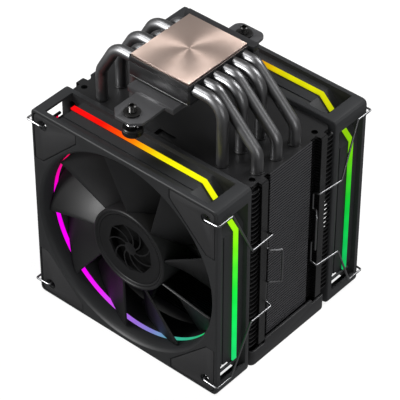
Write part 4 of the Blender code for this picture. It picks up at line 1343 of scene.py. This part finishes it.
def pan_screw():
    under, head, shank = TAB_TOP - 2.0 * MM, 2.9 * MM, 1.45 * MM
    top = BLOCK_BOTTOM + 3 * MM
    profile = [(0, top), (shank - 0.3 * MM, top), (shank, top - 0.4 * MM)]
    height = top - 0.8 * MM
    while height > under + 0.9 * MM:
        profile += [(shank - 0.2 * MM, height), (shank, height - 0.25 * MM)]
        height -= 0.5 * MM
    round_in, round_down = 1.2 * MM, 0.8 * MM
    profile += [(shank, under), (head, under), (head, under - round_down)]
    for step in range(1, 6):
        angle = math.radians(90 * step / 6)
        out = head - round_in * (1 - math.cos(angle))
        profile.append((out, under - round_down - round_down * math.sin(angle)))
    profile += [(head - round_in, under - 1.6 * MM), (0, under - 1.6 * MM)]
    return worked(turned(profile, 32, "Z"), cross_tool(0.35 * MM, 1.5 * MM, under - 3 * MM, under - 0.7 * MM))


for side, end in ENDS:
    piece(side + "_bracket", bracket(end), "tower", bracket_black)
    for index, x in enumerate((-BRACKET_SCREW_X, BRACKET_SCREW_X)):
        shape = moved(pan_screw(), (x, BASE_Y + end * BRACKET_SCREW_Y, 0))
        piece(f"{side}_bracket_screw_{index + 1}", shape, "tower", screw_black)

# %% [markdown]
# The spring is a ring of edges spun three times round the screw while it climbs.
# It is pressed together as the screw goes down, so it is told to flatten with that joint.

# %% Sprung screws
HEAD_TOP = 135.6 * MM
HEAD_HEIGHT = 4.6 * MM
HEAD_RADIUS = 5.2 * MM
SHANK = 2 * MM
SCREW_TIP = 148 * MM
SPRING_RADIUS = 3.2 * MM
SPRING_WIRE = 0.45 * MM
SPRING_TURNS = 3
SPRING_STEPS = 28
KNURLS = 24


def mount_screw():
    """A hollow threaded tip, a plain shank and a knurled head with a cross underneath."""
    bottom = HEAD_TOP - HEAD_HEIGHT
    profile = [(0, SCREW_TIP - 1.6 * MM), (1.2 * MM, SCREW_TIP - 1.3 * MM), (1.35 * MM, SCREW_TIP - 0.1 * MM),
               (1.5 * MM, SCREW_TIP), (SHANK, SCREW_TIP - 0.35 * MM)]
    height = SCREW_TIP - 0.6 * MM
    while height > TAB_TOP + 1.4 * MM:
        profile += [(SHANK - 0.25 * MM, height), (SHANK, height - 0.3 * MM)]
        height -= 0.6 * MM
    profile += [(SHANK, HEAD_TOP), (HEAD_RADIUS - 0.4 * MM, HEAD_TOP), (HEAD_RADIUS, HEAD_TOP - 0.4 * MM),
                (HEAD_RADIUS, HEAD_TOP - MM), (HEAD_RADIUS - 0.3 * MM, HEAD_TOP - 1.2 * MM),
                (HEAD_RADIUS, HEAD_TOP - 1.4 * MM), (HEAD_RADIUS, bottom + 0.8 * MM),
                (HEAD_RADIUS - 0.8 * MM, bottom), (0, bottom)]
    shape = turned(profile, 48, "Z")
    notches = []
    for index in range(KNURLS):
        edge = HEAD_RADIUS + 0.05 * MM
        notch = rod(0.3 * MM, (edge, 0, bottom - MM), (edge, 0, HEAD_TOP - 1.5 * MM), 6)
        notches.append(rotated(notch, 360 / KNURLS * index, "Z"))
    shape = worked(shape, gathered(notches))
    return worked(shape, cross_tool(0.5 * MM, 2.6 * MM, bottom - MM, bottom + 1.8 * MM))


def spring():
    """The wire's ring spun round the screw while it climbs."""
    shape = bmesh.new()
    low, high = HEAD_TOP + SPRING_WIRE + SLIT, TAB_TOP - TONGUE_THICK - SPRING_WIRE - SLIT
    place = Matrix.Translation((SPRING_RADIUS, 0, low)) @ Matrix.Rotation(math.radians(90), 4, "X")
    made = bmesh.ops.create_circle(shape, cap_ends=False, segments=10, radius=SPRING_WIRE, matrix=place)
    edges = list({edge for vert in made["verts"] for edge in vert.link_edges})
    steps = SPRING_TURNS * SPRING_STEPS
    bmesh.ops.spin(shape, geom=made["verts"] + edges, cent=(0, 0, 0), axis=(0, 0, 1),
                   angle=2 * math.pi * SPRING_TURNS, dvec=(0, 0, (high - low) / steps), steps=steps,
                   use_merge=False, use_duplicate=False)
    bmesh.ops.holes_fill(shape, edges=shape.edges, sides=10)
    bmesh.ops.recalc_face_normals(shape, faces=shape.faces)
    return shape


def washer():
    low = TAB_TOP + SLIT
    inner, outer = SHANK + 0.3 * MM, 4.3 * MM
    return turned([(outer, low + 0.6 * MM), (outer, low), (inner, low), (inner, low + 0.9 * MM),
                   (outer - 1.2 * MM, low + 0.9 * MM)], 48, "Z", True)


for side, end in ENDS:
    place = (0, BASE_Y + end * SCREW_REACH, 0)
    piece(side + "_mount_screw", moved(mount_screw(), place), side + "_screw", screw_black)
    piece(side + "_retaining_ring", moved(washer(), place), side + "_screw_ring", screw_black)
    # It is pressed together as the screw goes down, and it is given a mesh of its own.
    coil = piece(side + "_spring", moved(spring(), place), "tower", spring_steel, sharp=50)
    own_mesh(coil)

# %% [markdown]
# ## The wire clips
# A clip is one spring-steel wire. Its ends hook into the fan's screw holes, it runs back
# along the fan's side, dips into the groove of the fins and stands out as a handle in the
# middle. The upper half of one clip's route is written out in millimetres: its distance from
# the cooler's middle, its depth from the fan's outer face and its height. The lower half and
# the other three clips are mirrored from it.

# %% Wire clips
CLIP_WIRE = 0.55 * MM
CLIP_MIDDLE = 60.5
HANDLE_MIDDLE = 62.2
CLIP_BEND = 0.9 * MM
GROOVE_PRESS = 1.6
CLIP_UPPER = (
    (52.5, 2.2, 112.8), (52.5, -1.1, 113.0), (61.5, -1.1, 113.5), (61.5, 9.3, 113.5), (63.1, 22.2, 83.9),
    (63.1, 37.7, 84.1), (59.3, 37.7, 83.1), (59.3, 37.7, 72.8), (61.4, 37.7, 72.7), (65.5, 42.5, 72.5),
)


def clip_route(end):
    """The route in metres. The rear clips are pressed a little further into their grooves."""
    inward = GROOVE_PRESS if end > 0 else 0
    upper = [(x - inward if y > 30 else x, y, z) for x, y, z in CLIP_UPPER]
    lower = []
    for x, y, z in reversed(upper):
        middle = HANDLE_MIDDLE if abs(z - HANDLE_MIDDLE) < 12 else CLIP_MIDDLE
        lower.append((x, y, 2 * middle - z))
    return [Vector(point) * MM for point in upper + lower]


for side, end in ENDS:
    for hand, out in (("left", -1), ("right", 1)):
        start = FAN_FACES["front"]
        route = [Vector((out * x, -end * (start + y), z)) for x, y, z in clip_route(end)]
        name = f"{side}_wire_clip_{hand}"
        wire = tube(route, CLIP_WIRE, CLIP_BEND, 10, 4)
        piece(name, wire, f"{side}_clip_{hand}", clip_steel, sharp=50)

# %% [markdown]
# ## Floor, light and camera
# The studio is plain: a white floor that fades into a white surround, two large soft lamps
# above and a weaker one at the side. The copper's bright spokes lie where a lamp's direction
# and the camera's add up, so the two top lamps stand where they light two crossed pairs. A
# small lamp low in front shows in reflections only and draws the glints. The floor is left
# out of reflections, so that it cannot wash out the black surfaces.

# %% Floor and lamps
def studio_floor():
    shape = bmesh.new()
    bmesh.ops.create_grid(shape, x_segments=1, y_segments=1, size=6.0)
    mesh = bpy.data.meshes.new("floor")
    shape.to_mesh(mesh)
    shape.free()
    recipe = Recipe("floor_white", emission_strength=0.86, roughness=0.9, specular_ior_level=0.0)
    recipe.shader.inputs["Emission Color"].default_value = (1, 1, 1, 1)
    tint = recipe.noise(300 * MM)
    recipe.feed("Base Color", recipe.blend(tint, (0.15, 0.15, 0.15), (0.17, 0.17, 0.17)))
    mesh.materials.append(recipe.material)
    floor = bpy.data.objects.new("floor", mesh)
    bpy.context.scene.collection.objects.link(floor)
    floor.visible_glossy = False


def lamp(name, direction, distance, size, power, soft=True):
    """A square lamp that looks at the cooler's middle from a direction. One that isn't soft only
    shows in reflections."""
    light = bpy.data.lights.new(name, "AREA")
    light.shape = "RECTANGLE"
    light.size, light.size_y = size
    light.energy = power
    thing = bpy.data.objects.new(name, light)
    aim = Vector((0, 0, 0.09))
    thing.location = aim + Vector(direction).normalized() * distance
    thing.rotation_euler = (aim - thing.location).to_track_quat("-Z", "Y").to_euler()
    thing.visible_diffuse = soft
    bpy.context.scene.collection.objects.link(thing)


studio_floor()
lamp("key", (-0.52, -0.25, 0.85), 1.3, (0.5, 0.7), 14)
lamp("glint", (-0.45, -0.80, 0.40), 1.2, (0.25, 0.25), 40, soft=False)
lamp("back", (0.30, 0.62, 0.78), 1.2, (0.5, 0.5), 16)
lamp("side", (0.9, -0.35, 0.35), 1.4, (0.4, 1.0), 6)
world = bpy.data.worlds.new("studio")
world.use_nodes = True
world.node_tree.nodes["Background"].inputs["Color"].default_value = (1, 1, 1, 1)
world.node_tree.nodes["Background"].inputs["Strength"].default_value = 0.28
bpy.context.scene.world = world
bpy.context.scene.view_settings.view_transform = "Standard"
print("studio lit")

# %% Camera
CAMERA_PLACE = (0.57269, -0.66302, 0.81446)
CAMERA_TURN = (49.185, -0.073, 40.859)
CAMERA_LENS = 206.2

lens = bpy.data.cameras.new("camera")
lens.lens = CAMERA_LENS
lens.sensor_width = 36
lens.clip_start, lens.clip_end = 0.01, 50
camera = bpy.data.objects.new("camera", lens)
camera.location = CAMERA_PLACE
camera.rotation_euler = [math.radians(angle) for angle in CAMERA_TURN]
bpy.context.scene.collection.objects.link(camera)
bpy.context.scene.camera = camera
print("camera placed")

# %% [markdown]
# ## Last count
# The fine pieces and their faces are counted.

# %% Count the pieces and finish
bpy.context.view_layer.update()
print(len(pieces_made), "pieces,", sum(len(thing.data.polygons) for thing in pieces_made), "faces")
